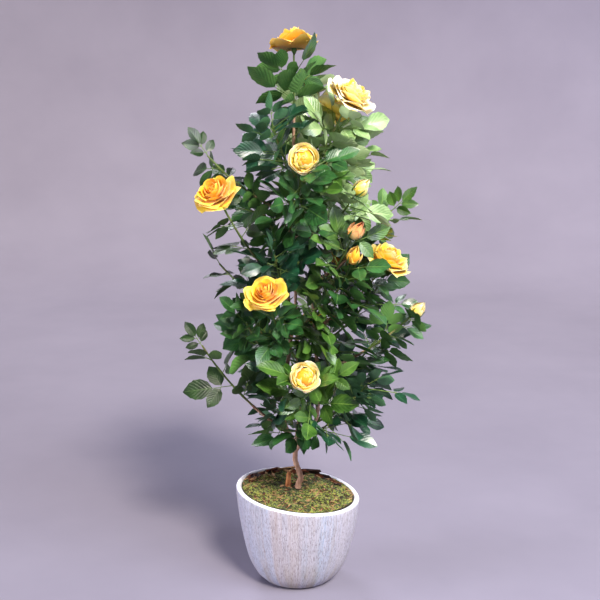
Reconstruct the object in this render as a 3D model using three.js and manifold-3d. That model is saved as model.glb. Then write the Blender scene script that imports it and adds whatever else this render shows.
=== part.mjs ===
// A silk rose bush in a whitewashed pot: three wooden stems that rise from one foot in a bed of moss, bare boughs, and
// sprays of glossy leaves with yellow roses and buds. Millimetres, +Z up, +X right, front towards -Y, and the origin at
// the centre of the pot's flat underside.
import * as THREE from "three";
import { mergeVertices } from "three/addons/utils/BufferGeometryUtils.js";
import Module from "manifold-3d";

const wasm = await Module();
wasm.setup();
const { Manifold, Mesh: SolidMesh } = wasm;

// ---------------------------------------------------------------- driving sizes

const CLEARANCE = 0.3; // between any two pieces that touch on the real thing
const POT = {
  profile: [[60, 0], [77, 6], [94, 32], [104, 58], [112, 92], [118, 122], [123, 160], [124, 180]], // radius, height
  height: 186,
  wall: 11,
  floor: 16,
  sides: 24,
  rimSlope: 0.113, // fall of the rim from left to right, per millimetre
};
const MOSS = { edgeDrop: 7, crown: 8, bump: 2.5, seatRadius: 36, topRings: [36, 62, 92] };
const STEM = { sides: 5, ringSpacing: 38, flareRadius: 13, flareHeight: 26 };
const BOUGH = { sides: 4, rings: 3, rootRadius: 3.6, tipRadius: 2.6 };
const SPRAY = { sides: 3, rings: 4, rootRadius: 2.6, tipRadius: 1.7, bare: 0.16, spacing: 33 };
const LEAF = {
  stalk: 40, // from the stem to the leaflet at the leaf's tip
  stalkRadius: 1.15,
  opening: 56, // degrees between the stem and the stalk
  pairAngle: 60, // degrees between the stalk and a side leaflet
  pairPlace: 0.5, // how far along the stalk the pair stands
  length: 76,
  tipShare: 0.72, // a leaf at the spray's tip against one at its foot
  width: 0.72, // of its length
  widest: 0.42, // how far along a leaflet it is widest
  thickness: 0.02, // of its length
  droop: 0.08, // how far the tip hangs, of its length
  mostRoll: 72, // degrees that a leaf may turn about its stalk
};
const BLOOM = { full: 42, cabbage: 25, bud: 12.5 }; // radius
const SEED = 22;
const GOLDEN_ANGLE = 137.508;
const ATTEMPTS = 6;
const ROUTE = { spacing: 6, skip: 0.05, room: 7, shifts: [0, 9, -9, 18, -18, 27, -27, 40, -40] };

// ---------------------------------------------------------------- helpers

const degrees = (angle) => (angle * Math.PI) / 180;
const mix = (a, b, t) => a + (b - a) * t;
const smooth = (t) => t * t * (3 - 2 * t);
const clamp01 = (t) => Math.min(1, Math.max(0, t));

// Seeded random numbers: a seed gives the same draws each time.
function generator(seed) {
  let state = Math.imul(seed + 1, 2654435761) >>> 0;
  const draw = () => {
    state = (Math.imul(state, 1664525) + 1013904223) >>> 0;
    return state / 4294967296;
  };
  draw();
  draw();
  return draw;
}

// A point at an azimuth (0 front, 90 right, 180 back), a reach from the pot's axis and a height.
function around(azimuth, reach, height) {
  const a = degrees(azimuth);
  return new THREE.Vector3(reach * Math.sin(a), -reach * Math.cos(a), height);
}

// A closed geometry as a solid that can be joined and cut.
function solid(geometry) {
  const bare = geometry.clone();
  for (const name of Object.keys(bare.attributes)) if (name !== "position") bare.deleteAttribute(name);
  const merged = mergeVertices(bare, 1e-4);
  return new Manifold(
    new SolidMesh({
      numProp: 3,
      vertProperties: merged.getAttribute("position").array,
      triVerts: new Uint32Array(merged.index.array),
    }),
  );
}

// A solid as a geometry for a THREE.Mesh.
function geometryOf(body) {
  const { vertProperties, triVerts, numProp } = body.getMesh();
  const place = new Float32Array((vertProperties.length / numProp) * 3);
  for (let i = 0; i < place.length / 3; i++)
    for (let k = 0; k < 3; k++) place[3 * i + k] = vertProperties[numProp * i + k];
  const geometry = new THREE.BufferGeometry();
  geometry.setAttribute("position", new THREE.BufferAttribute(place, 3));
  geometry.setIndex(new THREE.BufferAttribute(new Uint32Array(triVerts), 1));
  geometry.computeVertexNormals();
  return geometry;
}

// The largest closed body of a solid: fusing can leave a loose scrap.
function mainBody(body) {
  return body.decompose().sort((a, b) => b.volume() - a.volume())[0];
}

// Moves each vertex of a geometry by a rule.
function reshape(geometry, rule) {
  const place = geometry.getAttribute("position");
  const p = new THREE.Vector3();
  for (let i = 0; i < place.count; i++) {
    rule(p.fromBufferAttribute(place, i));
    place.setXYZ(i, p.x, p.y, p.z);
  }
  return geometry;
}

// A tapering tube along a curve with closed flat ends: a cylinder bent along it. radiusAt takes 0 at the foot, 1 at the tip.
function tube(curve, radiusAt, sides, rings, from = 0, to = 1) {
  const cylinder = new THREE.CylinderGeometry(1, 1, 1, sides, rings);
  const across = sideways(curve);
  return reshape(cylinder, (p) => {
    const along = clamp01(p.y + 0.5);
    const t = mix(from, to, along);
    const { side, front } = frameAt(curve, t, across);
    const radius = radiusAt(along);
    const [x, z] = [p.x * radius, p.z * radius];
    p.copy(curve.getPoint(t)).addScaledVector(side, x).addScaledVector(front, z);
  });
}

// A horizontal direction across a curve.
function sideways(curve) {
  const run = curve.getPoint(1).sub(curve.getPoint(0)).setZ(0);
  return run.length() < 1 ? new THREE.Vector3(1, 0, 0) : new THREE.Vector3(-run.y, run.x, 0).normalize();
}

function frameAt(curve, t, across) {
  const step = 1e-3;
  const ahead = curve.getPoint(Math.min(1, t + step));
  const tangent = ahead.sub(curve.getPoint(Math.max(0, t - step))).normalize();
  const side = across.clone().addScaledVector(tangent, -across.dot(tangent)).normalize();
  return { tangent, side, front: side.clone().cross(tangent) };
}

// ---------------------------------------------------------------- pot and moss

// The rim's plane falls evenly from left to right, and the foot stays level.
function slope(p) {
  p.z -= POT.rimSlope * p.x * smooth(clamp01(p.z / POT.height));
}

// The pot's outer radius at a height: nearly upright at the rim, and rounding in to its foot.
function potRadius(z) {
  const above = POT.profile.findIndex(([, height]) => height >= z);
  if (above <= 0) return above < 0 ? POT.profile.at(-1)[0] : POT.profile[0][0];
  const [[r0, z0], [r1, z1]] = POT.profile.slice(above - 1, above + 1);
  return mix(r0, r1, (z - z0) / (z1 - z0));
}

const MOSS_EDGE = POT.height - MOSS.edgeDrop;
const INNER_HEIGHTS = [MOSS_EDGE, 122, 92, 58, 34]; // rings of the pot's inner face that the moss shares

function innerOutline(gap) {
  const outline = INNER_HEIGHTS.map((z) => new THREE.Vector2(potRadius(z) - POT.wall - 1.6 * gap, z));
  const floor = POT.floor + gap;
  outline.push(new THREE.Vector2(potRadius(POT.floor) - POT.wall - 2 * gap, floor), new THREE.Vector2(0, floor));
  return outline;
}

// LatheGeometry turns about Y, and the part's up is Z.
const standUp = (geometry) => geometry.rotateX(Math.PI / 2);

function potGeometry() {
  const lip = POT.wall / 2;
  const [x, y] = [POT.profile.at(-1)[0] - lip, POT.height - lip];
  const outline = [
    new THREE.Vector2(0, 0),
    ...POT.profile.map(([radius, height]) => new THREE.Vector2(radius, height)),
    ...[45, 90, 135].map((a) => new THREE.Vector2(x + lip * Math.cos(degrees(a)), y + lip * Math.sin(degrees(a)))),
    ...innerOutline(0),
  ];
  return reshape(standUp(new THREE.LatheGeometry(outline, POT.sides)), slope);
}

function mossHeight(radius, angle) {
  const share = clamp01((radius - MOSS.seatRadius) / (POT.profile.at(-1)[0] - POT.wall - MOSS.seatRadius));
  const bumps = Math.sin(5 * angle + radius / 9) + Math.sin(9 * angle - radius / 6);
  return MOSS_EDGE + MOSS.crown * (1 - smooth(share)) + MOSS.bump * bumps * share * (1 - share) * 2;
}

function mossGeometry() {
  const outline = [
    new THREE.Vector2(0, MOSS_EDGE + MOSS.crown),
    ...MOSS.topRings.map((radius) => new THREE.Vector2(radius, MOSS_EDGE + MOSS.crown)),
    ...innerOutline(CLEARANCE),
  ];
  const body = standUp(new THREE.LatheGeometry(outline.reverse(), POT.sides));
  const lastRing = MOSS.topRings.at(-1);
  return reshape(body, (p) => {
    const radius = Math.hypot(p.x, p.y);
    if (p.z < MOSS_EDGE + 1) return slope(p);
    if (radius > MOSS.seatRadius + 1) p.z = mossHeight(radius, Math.atan2(p.y, p.x));
    p.z -= POT.rimSlope * p.x * smooth(clamp01((radius - MOSS.seatRadius) / (lastRing - MOSS.seatRadius)));
  });
}

// ---------------------------------------------------------------- wooden stems

const GROUND = MOSS_EDGE + MOSS.crown + CLEARANCE; // the moss's seat, and the flat cut on it
const FORK = 282;

// Each stem's route as points that a smooth curve passes through.
const STEM_ROUTES = {
  trunk: {
    points: [
      [1, 6, GROUND - 6],
      [1.5, 6, GROUND + 10],
      [6, 6, GROUND + 22],
      [1, 5, GROUND + 40],
      [-5, 3, 248],
      [-6, 1, FORK],
      [-26, -4, 326],
      [-30, -4, 372],
      [-20, -2, 450],
      [-13, 0, 519],
      [-20, 0, 609],
      [-14, 2, 720],
      [-9, 2, 830],
      [-7, 0, 935],
    ],
    footRadius: 6.4,
    tipRadius: 2.8,
  },
  stem_right: {
    points: [
      [-4, 2, FORK - 12],
      [16, -1, 298],
      [35, -4, 330],
      [40, -2, 400],
      [33, 4, 520],
      [27, 8, 640],
      [24, 8, 760],
    ],
    footRadius: 5,
    tipRadius: 2.8,
  },
  stem_back: {
    points: [
      [-5, 4, FORK - 18],
      [-1, 20, 296],
      [3, 36, 330],
      [2, 42, 420],
      [-4, 36, 560],
      [-2, 30, 700],
    ],
    footRadius: 4.8,
    tipRadius: 2.6,
  },
};

const stemCurves = Object.fromEntries(
  Object.entries(STEM_ROUTES).map(([name, { points }]) => [
    name,
    new THREE.CatmullRomCurve3(
      points.map((p) => new THREE.Vector3(...p)),
      false,
      "centripetal",
    ),
  ]),
);

function stemSolid(name, extra = 0) {
  const { footRadius, tipRadius } = STEM_ROUTES[name];
  const curve = stemCurves[name];
  const length = curve.getLength();
  const radiusAt = (t) => {
    const flare = name === "trunk" ? clamp01(1 - (t * length) / STEM.flareHeight) : 0;
    return mix(footRadius, tipRadius, t) + (STEM.flareRadius - footRadius) * flare * flare + extra;
  };
  const whole = solid(tube(curve, radiusAt, STEM.sides, Math.round(length / STEM.ringSpacing)));
  return whole.trimByPlane([0, 0, 1], GROUND);
}

// Where on a stem's curve a height lies.
function stemAt(name, height) {
  const curve = stemCurves[name];
  let [low, high] = [0, 1];
  for (let i = 0; i < 30; i++) {
    const middle = (low + high) / 2;
    if (curve.getPoint(middle).z < height) low = middle;
    else high = middle;
  }
  return curve.getPoint(low);
}

// The stem that a spray grows from: the one that stands furthest towards its tip, where it reaches that height.
function nearestStem(foot, tip) {
  let best = null;
  for (const name of Object.keys(stemCurves)) {
    const top = stemCurves[name].getPoint(1).z;
    if (foot > top || foot < FORK) continue;
    const point = stemAt(name, foot);
    const gap = Math.hypot(point.x - tip.x, point.y - tip.y);
    if (!best || gap < best.gap) best = { name, gap, point };
  }
  return best ?? { name: "trunk", point: stemAt("trunk", foot) };
}

// ---------------------------------------------------------------- the sprays' plan

// name, height of the foot on its stem, then the tip's azimuth, reach and height, what the tip bears and which way that faces.
const spray = (name, foot, azimuth, reach, height, tip = "leaves", faces = [azimuth, 40]) => ({
  name,
  foot,
  azimuth,
  reach,
  height,
  tip,
  faces,
});

// The sprays that give the bush its outline and bear the roses of its front.
const FRONT_SPRAYS = [
  spray("spray_top", 936, 262, 7, 1060, "full", [200, 74]),
  spray("spray_upper_right", 800, 73, 98, 966, "full", [66, 56]),
  spray("spray_heart", 718, 6, 98, 864, "cabbage", [4, 18]),
  spray("spray_left_rose", 600, 291, 158, 790, "full", [328, 36]),
  spray("spray_middle_rose", 482, 338, 146, 616, "full", [340, 42]),
  spray("spray_low_rose", 365, 4, 140, 462, "cabbage", [12, 30]),
  spray("spray_right_rose", 520, 81, 168, 655, "full", [70, 48]),
  spray("spray_bud_upper", 690, 66, 118, 796, "bud", [80, 45]),
  spray("spray_bud_middle", 590, 47, 138, 722, "bud", [50, 50]),
  spray("spray_bud_inner", 545, 42, 150, 678, "bud", [30, 62]),
  spray("spray_bud_far", 430, 87, 222, 552, "bud", [75, 50]),
  spray("spray_left_top", 745, 274, 170, 862),
  spray("spray_left_middle", 545, 263, 154, 648),
  spray("spray_left_inner", 430, 304, 118, 552),
  spray("spray_left_low", 306, 270, 188, 488),
  spray("spray_right_top", 728, 94, 100, 858),
  spray("spray_right_middle", 610, 92, 180, 755),
  spray("spray_right_inner", 480, 96, 160, 606),
  spray("spray_right_lower", 392, 86, 158, 500),
  spray("spray_right_low", 330, 70, 146, 426),
  spray("spray_right_foot", 310, 48, 80, 344),
  spray("spray_front_foot", 300, 2, 56, 352),
  spray("spray_left_foot", 304, 318, 58, 344),
];

// The other sprays climb round the stems by a fixed turn, so that the bush is as full behind as in front.
const BACK = {
  name: "spray_back",
  count: 10,
  azimuths: [125, 235],
  feet: [318, 880],
  rise: 112,
  reachShare: 0.92,
  tips: ["leaves", "cabbage", "leaves", "full", "bud"],
};
const CORE = {
  name: "spray_core",
  count: 12,
  azimuths: [-95, 128],
  feet: [304, 828],
  rise: 96,
  reachShare: 0.6,
  tips: ["leaves"],
};

function climbingSprays({ name, count, azimuths, feet, rise, reachShare, tips }) {
  return Array.from({ length: count }, (_, i) => {
    const turn = ((i * GOLDEN_ANGLE) / 360) % 1;
    const foot = mix(...feet, i / (count - 1));
    const reach = reachShare * crownReach(foot + rise);
    return spray(`${name}_${i + 1}`, foot, mix(...azimuths, turn), reach, foot + rise, tips[i % tips.length]);
  });
}

// How far the stems of the sprays reach at a height: fullest below the middle, drawn in to the top and to the foot.
function crownReach(height) {
  const share = clamp01((height - 250) / (1080 - 250));
  return 30 + 120 * Math.pow(Math.sin(Math.PI * Math.pow(share, 0.85)), 0.7);
}

// The long arms start as a bare wooden bough, and their leaves begin at its tip.
const ARMS = {
  spray_left_rose: 0.42,
  spray_left_top: 0.4,
  spray_left_middle: 0.42,
  spray_left_low: 0.38,
  spray_right_middle: 0.4,
  spray_bud_far: 0.45,
  spray_right_rose: 0.36,
};

const SPRAYS = [...FRONT_SPRAYS, ...climbingSprays(BACK), ...climbingSprays(CORE)];

// A spray's stem leaves the wood nearly level and bends up to its tip.
function sprayCurve(plan) {
  const tip = around(plan.azimuth, plan.reach, plan.height);
  const { name, point } = nearestStem(plan.foot, tip);
  const bend = new THREE.Vector3(mix(point.x, tip.x, 0.6), mix(point.y, tip.y, 0.6), mix(point.z, tip.z, 0.38));
  return { curve: new THREE.QuadraticBezierCurve3(point, bend, tip), stem: name };
}

// Points along a curve at an even spacing of its own parameter.
function samplesOf(curve, from = 0) {
  const count = Math.ceil(curve.getLength() / ROUTE.spacing);
  return Array.from({ length: count + 1 }, (_, i) => curve.getPoint(mix(from, 1, i / count)));
}

const distanceApart = (a, b) => Math.min(...a.map((p) => Math.min(...b.map((q) => p.distanceTo(q)))));

// Every spray's curve and the stem it grows from: where it would come too near another limb, it turns aside.
function planRoutes(sprays) {
  const limbs = Object.entries(stemCurves).map(([name, curve]) => ({ name, samples: samplesOf(curve) }));
  return sprays.map((plan, index) => {
    let route;
    for (const shift of ROUTE.shifts) {
      route = sprayCurve({ ...plan, azimuth: plan.azimuth + shift });
      const own = samplesOf(route.curve, ROUTE.skip);
      if (limbs.every(({ name, samples }) => name === route.stem || distanceApart(own, samples) > ROUTE.room)) break;
    }
    limbs.push({ name: plan.name, samples: samplesOf(route.curve, ROUTE.skip) });
    return { plan, index, ...route, from: 0 };
  });
}

// ---------------------------------------------------------------- leaves and flowers

// A three-sided spindle along +X with its upper side to +Z: a point, a ring of three corners at each station, a point.
function spindle(start, stations, end) {
  const rings = stations.length + 1;
  return reshape(new THREE.SphereGeometry(1, 3, rings), (p) => {
    const ring = Math.round((Math.acos(Math.max(-1, Math.min(1, -p.y))) / Math.PI) * rings);
    if (ring === 0) p.set(...start);
    else if (ring === rings) p.set(...end);
    else {
      const { at, keelAt = at, half, top, keel } = stations[ring - 1];
      if (p.x < 0) p.set(keelAt, 0, keel);
      else p.set(at, Math.sign(p.z) * half, top);
    }
  });
}

// A leaflet: its root is the origin.
function leaflet(length) {
  const thickness = LEAF.thickness * length;
  const station = {
    at: LEAF.widest * length,
    keelAt: 0.12 * length,
    half: (LEAF.width * length) / 2,
    top: thickness / 2,
    keel: -thickness,
  };
  return spindle([0, 0, 0], [station], [length, 0, -LEAF.droop * length]);
}

// The stalk and the leaflet at its end, as one spindle.
function stalkedLeaflet(stalk, length) {
  const r = LEAF.stalkRadius;
  const thickness = LEAF.thickness * length;
  const stations = [
    { at: 0, half: r, top: 0.6 * r, keel: -r },
    { at: stalk, half: 0.8 * r, top: 0.5 * r, keel: -0.8 * r },
    { at: stalk + LEAF.widest * length, half: (LEAF.width * length) / 2, top: thickness / 2, keel: -thickness },
  ];
  return spindle([-0.8, 0, 0], stations, [stalk + length, 0, -LEAF.droop * length]);
}

// A matrix that turns +X to a direction and +Z as near as it can to a facing, and moves to a place.
function placing(origin, direction, facing) {
  const x = direction.clone().normalize();
  const z = facing.clone().addScaledVector(x, -facing.dot(x)).normalize();
  const y = z.clone().cross(x);
  return new THREE.Matrix4().makeBasis(x, y, z).setPosition(origin);
}

// A leaf of three leaflets on a stalk.
function compoundLeaf(root, direction, facing, size) {
  const stalk = LEAF.stalk * size;
  const length = LEAF.length * size;
  const pieces = [solid(stalkedLeaflet(stalk, length).applyMatrix4(placing(root, direction, facing)))];
  const pairRoot = root.clone().addScaledVector(direction, LEAF.pairPlace * stalk);
  pairRoot.addScaledVector(facing, 0.3 * LEAF.stalkRadius);
  for (const sign of [-1, 1]) {
    const way = direction.clone().applyAxisAngle(facing, degrees(sign * LEAF.pairAngle));
    pieces.push(solid(leaflet(0.86 * length).applyMatrix4(placing(pairRoot, way, facing))));
  }
  return Manifold.union(pieces);
}

// Each flower's outline, as radius and height in shares of its radius: from the stalk up to the middle of its heart.
const FLOWERS = {
  full: [[0, -0.1], [0.12, 0], [0.16, 0.14], [0.72, 0.3], [1, 0.58], [0.62, 0.6], [0.42, 0.86], [0, 0.92]],
  cabbage: [[0, -0.15], [0.16, 0], [0.26, 0.16], [0.86, 0.45], [1, 1], [0.72, 1.5], [0.34, 1.6], [0, 1.55]],
  bud: [[0, -0.2], [0.4, 0.05], [0.85, 0.6], [0.9, 1.2], [0.5, 2.1], [0, 2.6]],
};
const PETALS = { count: 5, wave: 0.09 };

// A flower at a stem's tip: its outline turned about its axis, with an edge that waves by petals.
function flower(kind, tip, facing) {
  const radius = BLOOM[kind];
  const outline = FLOWERS[kind].map(([across, up]) => new THREE.Vector2(across * radius, up * radius));
  const body = standUp(new THREE.LatheGeometry(outline, kind === "bud" ? 6 : 2 * PETALS.count));
  reshape(body, (p) => {
    const share = Math.hypot(p.x, p.y) / radius;
    const wave = PETALS.wave * smooth(clamp01(share * 1.6 - 0.6)) * Math.sin(PETALS.count * Math.atan2(p.y, p.x));
    p.set(p.x * (1 + wave), p.y * (1 + wave), p.z + wave * radius);
  });
  const turn = new THREE.Quaternion().setFromUnitVectors(new THREE.Vector3(0, 0, 1), facing);
  return solid(body.applyQuaternion(turn).translate(tip.x, tip.y, tip.z));
}

// ---------------------------------------------------------------- growing the bush

const placed = []; // every solid so far, with its box

function boxOf(body) {
  const { min, max } = body.boundingBox();
  return new THREE.Box3(new THREE.Vector3(...min), new THREE.Vector3(...max));
}

// True if a solid keeps its clearance to every piece so far, but for the limb that it stands on.
function isClear(body, limb) {
  const box = boxOf(body).expandByScalar(CLEARANCE);
  return placed.every(
    (other) =>
      other.body === limb ||
      !box.intersectsBox(other.box) ||
      body.minGap(other.body, 2 * CLEARANCE) >= CLEARANCE,
  );
}

function keep(body) {
  placed.push({ body, box: boxOf(body) });
  return body;
}

// The frame in which a spray's leaves turn about its stem.
function radialAt(curve, t, across, angle) {
  const { tangent, side, front } = frameAt(curve, t, across);
  const a = degrees(angle);
  return { tangent, radial: side.clone().multiplyScalar(Math.cos(a)).addScaledVector(front, Math.sin(a)) };
}

// A leaf's face: up, rolled about its stalk by a draw, and never turned in to the middle of the bush.
function leafFacing(root, direction, draw) {
  const up = new THREE.Vector3(0, 0, 1).addScaledVector(direction, -direction.z).normalize();
  const side = direction.clone().cross(up);
  const outward = new THREE.Vector3(root.x, root.y, 0).normalize();
  const lean = side.dot(outward);
  const roll = degrees(LEAF.mostRoll) * (2 * draw() - 1);
  const turned = Math.abs(lean) > 0.25 ? Math.sign(lean) * Math.abs(roll) : roll;
  return up.multiplyScalar(Math.cos(turned)).addScaledVector(side, Math.sin(turned));
}

// The leaves of one spray: each stands at the next turn of the golden angle, and moves on if its place is taken.
function growLeaves({ plan, curve, from, index, limb }) {
  const grown = [];
  const length = curve.getLength() * (1 - from);
  const count = Math.max(3, Math.round((length * (1 - SPRAY.bare)) / SPRAY.spacing) + 1);
  const across = sideways(curve);
  for (let i = 0; i < count; i++) {
    const along = mix(SPRAY.bare, 0.97, i / (count - 1));
    const t = mix(from, 1, along);
    const root = curve.getPoint(t);
    const last = i === count - 1 && plan.tip === "leaves";
    for (let attempt = 0; attempt < ATTEMPTS; attempt++) {
      const draw = generator(SEED * 7919 + index * 1009 + i * 31 + attempt);
      const angle = (i + 0.37 * attempt) * GOLDEN_ANGLE + index * 47 + 30 * draw();
      const { tangent, radial } = radialAt(curve, t, across, angle);
      const opening = degrees(last ? 12 + 6 * attempt : LEAF.opening + 24 * (draw() - 0.5));
      const direction = tangent.multiplyScalar(Math.cos(opening)).addScaledVector(radial, Math.sin(opening));
      const facing = leafFacing(root, direction, draw);
      const size = mix(1, LEAF.tipShare, along) * mix(0.9, 1.1, draw()) * (attempt < 3 ? 1 : 0.78);
      const leaf = compoundLeaf(root, direction, facing, size);
      if (!isClear(leaf, limb)) continue;
      grown.push(keep(leaf));
      break;
    }
  }
  return grown;
}

// ---------------------------------------------------------------- materials

const finish = (color, roughness) => new THREE.MeshStandardMaterial({ color, roughness, metalness: 0 });
const MATERIALS = {
  pot: finish(0xc9c2cc, 0.8),
  moss: finish(0x85813f, 1),
  wood: finish(0x94705e, 0.8),
  green: finish(0x24592f, 0.4),
};

// ---------------------------------------------------------------- assembly

const bush = new THREE.Group();
bush.name = "rose_bush";

function addNode(name, body, material) {
  const mesh = new THREE.Mesh(geometryOf(body), material);
  mesh.name = name;
  bush.add(mesh);
}

// The pot, its bed of moss, and the sawn stub that stands beside the foot.
const pot = keep(solid(potGeometry()));
const moss = keep(solid(mossGeometry()));
const STUB = { x: -20, y: 20, height: 30, radius: 6 };
const stub = keep(
  solid(
    new THREE.CylinderGeometry(0.7 * STUB.radius, STUB.radius, STUB.height, 6)
      .rotateX(Math.PI / 2)
      .translate(STUB.x, STUB.y, GROUND + STUB.height / 2),
  ),
);
addNode("pot", pot, MATERIALS.pot);
addNode("moss", moss, MATERIALS.moss);
addNode("stub", stub, MATERIALS.wood);

// The trunk stays whole, and the other two stems are cut clear of it.
const fat = Object.fromEntries(Object.keys(STEM_ROUTES).map((name) => [name, stemSolid(name, 1.6 * CLEARANCE)]));
const trunk = keep(stemSolid("trunk"));
const stemRight = keep(mainBody(stemSolid("stem_right").subtract(fat.trunk)));
const stemBack = keep(mainBody(stemSolid("stem_back").subtract(fat.trunk).subtract(fat.stem_right)));
addNode("trunk", trunk, MATERIALS.wood);
addNode("stem_right", stemRight, MATERIALS.wood);
addNode("stem_back", stemBack, MATERIALS.wood);

const routes = planRoutes(SPRAYS);

// Boughs first, then every spray's own stem, then the flowers, and the leaves where there is room.
for (const route of routes) {
  const share = ARMS[route.plan.name];
  if (!share) continue;
  const radiusAt = (t) => mix(BOUGH.rootRadius, BOUGH.tipRadius, t);
  const whole = solid(tube(route.curve, radiusAt, BOUGH.sides, BOUGH.rings, 0, share));
  const bough = mainBody(whole.subtract(fat[route.stem]));
  const name = route.plan.name.replace("spray", "bough");
  if (!isClear(bough)) console.log(`${name} touches another limb`);
  addNode(name, keep(bough), MATERIALS.wood);
  route.from = share + CLEARANCE / route.curve.getLength() + 0.001;
}

for (const route of routes) {
  const { plan, curve, from, stem } = route;
  const radiusAt = (t) => mix(SPRAY.rootRadius, SPRAY.tipRadius, t);
  const start = plan.name === "spray_top" ? 0.012 : from;
  route.from = start;
  let own = solid(tube(curve, radiusAt, SPRAY.sides, SPRAY.rings, start, 1));
  if (!from) own = mainBody(own.subtract(fat[stem]));
  if (!isClear(own)) console.log(`${plan.name}'s stem touches another limb`);
  route.limb = keep(own);
}

for (const route of routes) {
  const { plan, curve, limb } = route;
  route.pieces = [limb];
  if (plan.tip === "leaves") continue;
  const [azimuth, rise] = plan.faces;
  const facing = around(azimuth, Math.cos(degrees(rise)), Math.sin(degrees(rise)));
  const head = flower(plan.tip, curve.getPoint(1), facing);
  if (isClear(head, limb)) route.pieces.push(keep(head));
  else console.log(`${plan.name}'s flower has no room`);
}

let leafCount = 0;
for (const route of routes) {
  const leaves = growLeaves(route);
  leafCount += leaves.length;
  route.pieces.push(...leaves);
}

for (const { plan, pieces } of routes) {
  const mass = mainBody(Manifold.union(pieces)).simplify(0.1);
  addNode(plan.name, mass, MATERIALS.green);
}
console.log(`${leafCount} leaves on ${routes.length} sprays`);

export default bush;
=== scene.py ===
"""A silk rose bush in a whitewashed pot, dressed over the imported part.

Sizes in the classes are millimetres, as in the part's own source, but metres in the finishes and the studio.
Meshes are written in metres. The front looks towards -Y and up is +Z. The stems, boughs and sprays follow
the source's rule, and the leaves grow on from them.
"""

import logging
import math
from dataclasses import dataclass, field, replace
from enum import Enum
from typing import Callable, Iterable, Sequence

import bmesh
import bpy
import numpy as np
from mathutils import Matrix, Vector, kdtree, noise
from mathutils.bvhtree import BVHTree


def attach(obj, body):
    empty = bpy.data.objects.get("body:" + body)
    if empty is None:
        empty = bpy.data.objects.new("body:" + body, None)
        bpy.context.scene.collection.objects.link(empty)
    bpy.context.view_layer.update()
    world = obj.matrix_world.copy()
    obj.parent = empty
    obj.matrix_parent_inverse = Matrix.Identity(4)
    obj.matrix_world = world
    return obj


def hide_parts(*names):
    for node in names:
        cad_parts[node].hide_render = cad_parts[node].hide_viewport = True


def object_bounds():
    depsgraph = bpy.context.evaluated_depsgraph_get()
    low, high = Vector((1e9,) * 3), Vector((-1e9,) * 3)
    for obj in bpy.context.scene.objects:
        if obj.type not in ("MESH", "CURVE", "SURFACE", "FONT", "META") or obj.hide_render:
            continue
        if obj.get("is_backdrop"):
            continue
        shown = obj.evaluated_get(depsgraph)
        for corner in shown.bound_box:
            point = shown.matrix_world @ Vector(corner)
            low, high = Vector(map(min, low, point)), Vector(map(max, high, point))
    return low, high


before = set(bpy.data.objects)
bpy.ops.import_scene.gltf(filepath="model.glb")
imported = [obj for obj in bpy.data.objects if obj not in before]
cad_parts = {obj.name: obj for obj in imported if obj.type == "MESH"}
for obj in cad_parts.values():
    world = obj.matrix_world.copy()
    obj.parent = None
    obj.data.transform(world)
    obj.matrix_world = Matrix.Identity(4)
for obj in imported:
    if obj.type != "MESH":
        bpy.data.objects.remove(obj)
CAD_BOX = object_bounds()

log = logging.getLogger("rose_bush")

Socket = bpy.types.NodeSocket
Piece = bpy.types.Object
BMesh = bmesh.types.BMesh
Faces = Sequence[Sequence[int]]
Coarse = tuple[list[Vector], list[tuple[int, ...]]]  # a shape's corners and faces
Chain = tuple[Vector, Sequence[Sequence[Vector]], Vector]  # a spindle's start, rings and end
Kept = tuple[Vector, Vector, BVHTree, str]  # a shape's lowest and highest corner, faces and owner

MM = 0.001
SEED = 22
GOLDEN_ANGLE = 137.508
CLEARANCE = 0.3  # between pieces that touch on the real thing
QUARTER_TURN = 1.57
FULL_TURN = 6.28
UP = Vector((0, 0, 1))


# ---------------------------------------------------------------- small helpers


def mix(a: float, b: float, t: float) -> float:
    """The value at share t of the way from a to b."""
    return a + (b - a) * t


def clamp01(t: float) -> float:
    """t held between 0 and 1."""
    return min(1.0, max(0.0, t))


def smooth(t: float) -> float:
    """A share that leaves 0 and meets 1 without a corner."""
    return t * t * (3 - 2 * t)


def through(points: Sequence[Sequence[float]], t: float) -> Vector:
    """A point on the smooth curve that two or three points pull.

    Args:
        points: start, pull and end, or start and end.
        t: 0 at the start, 1 at the end.

    Returns:
        The point as a Vector of as many parts as the points have.
    """
    way = [Vector(p) for p in points]
    while len(way) > 1:
        way = [a.lerp(b, t) for a, b in zip(way, way[1:])]
    return way[0]


def around(azimuth: float, reach: float, height: float) -> Vector:
    """A point at an azimuth (0 front, 90 right), a reach from the pot's axis and a height."""
    a = math.radians(azimuth)
    return Vector((reach * math.sin(a), -reach * math.cos(a), height))


def placing(origin: Vector, direction: Vector, facing: Vector, size: float = 1.0) -> Matrix:
    """A matrix that turns +X to a direction and +Z as near as it can to a facing.

    Args:
        origin: where the piece's own origin goes.
        direction: where its +X points.
        facing: the side that its +Z looks to.
        size: how many times larger the piece becomes.

    Returns:
        The matrix of turn, size and place.
    """
    x = direction.normalized()
    z = (facing - x * facing.dot(x)).normalized()
    y = z.cross(x)
    turn = Matrix((x, y, z)).transposed().to_4x4()
    return Matrix.Translation(origin) @ turn @ Matrix.Scale(size, 4)


def turn_and_lean(turn: float, lean: float, axis: str = "X") -> Matrix:
    """A lean about a level axis and then a turn about the upright one, in radians."""
    return Matrix.Rotation(turn, 4, "Z") @ Matrix.Rotation(lean, 4, axis)


def lumps(p: Vector, scale: float, seed: float = 0.0) -> float:
    """Seeded noise between -1 and 1 at a place, with bumps about one scale across."""
    return noise.noise(p / scale + Vector((seed, 3.7 * seed, 1.3 * seed)))


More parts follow.
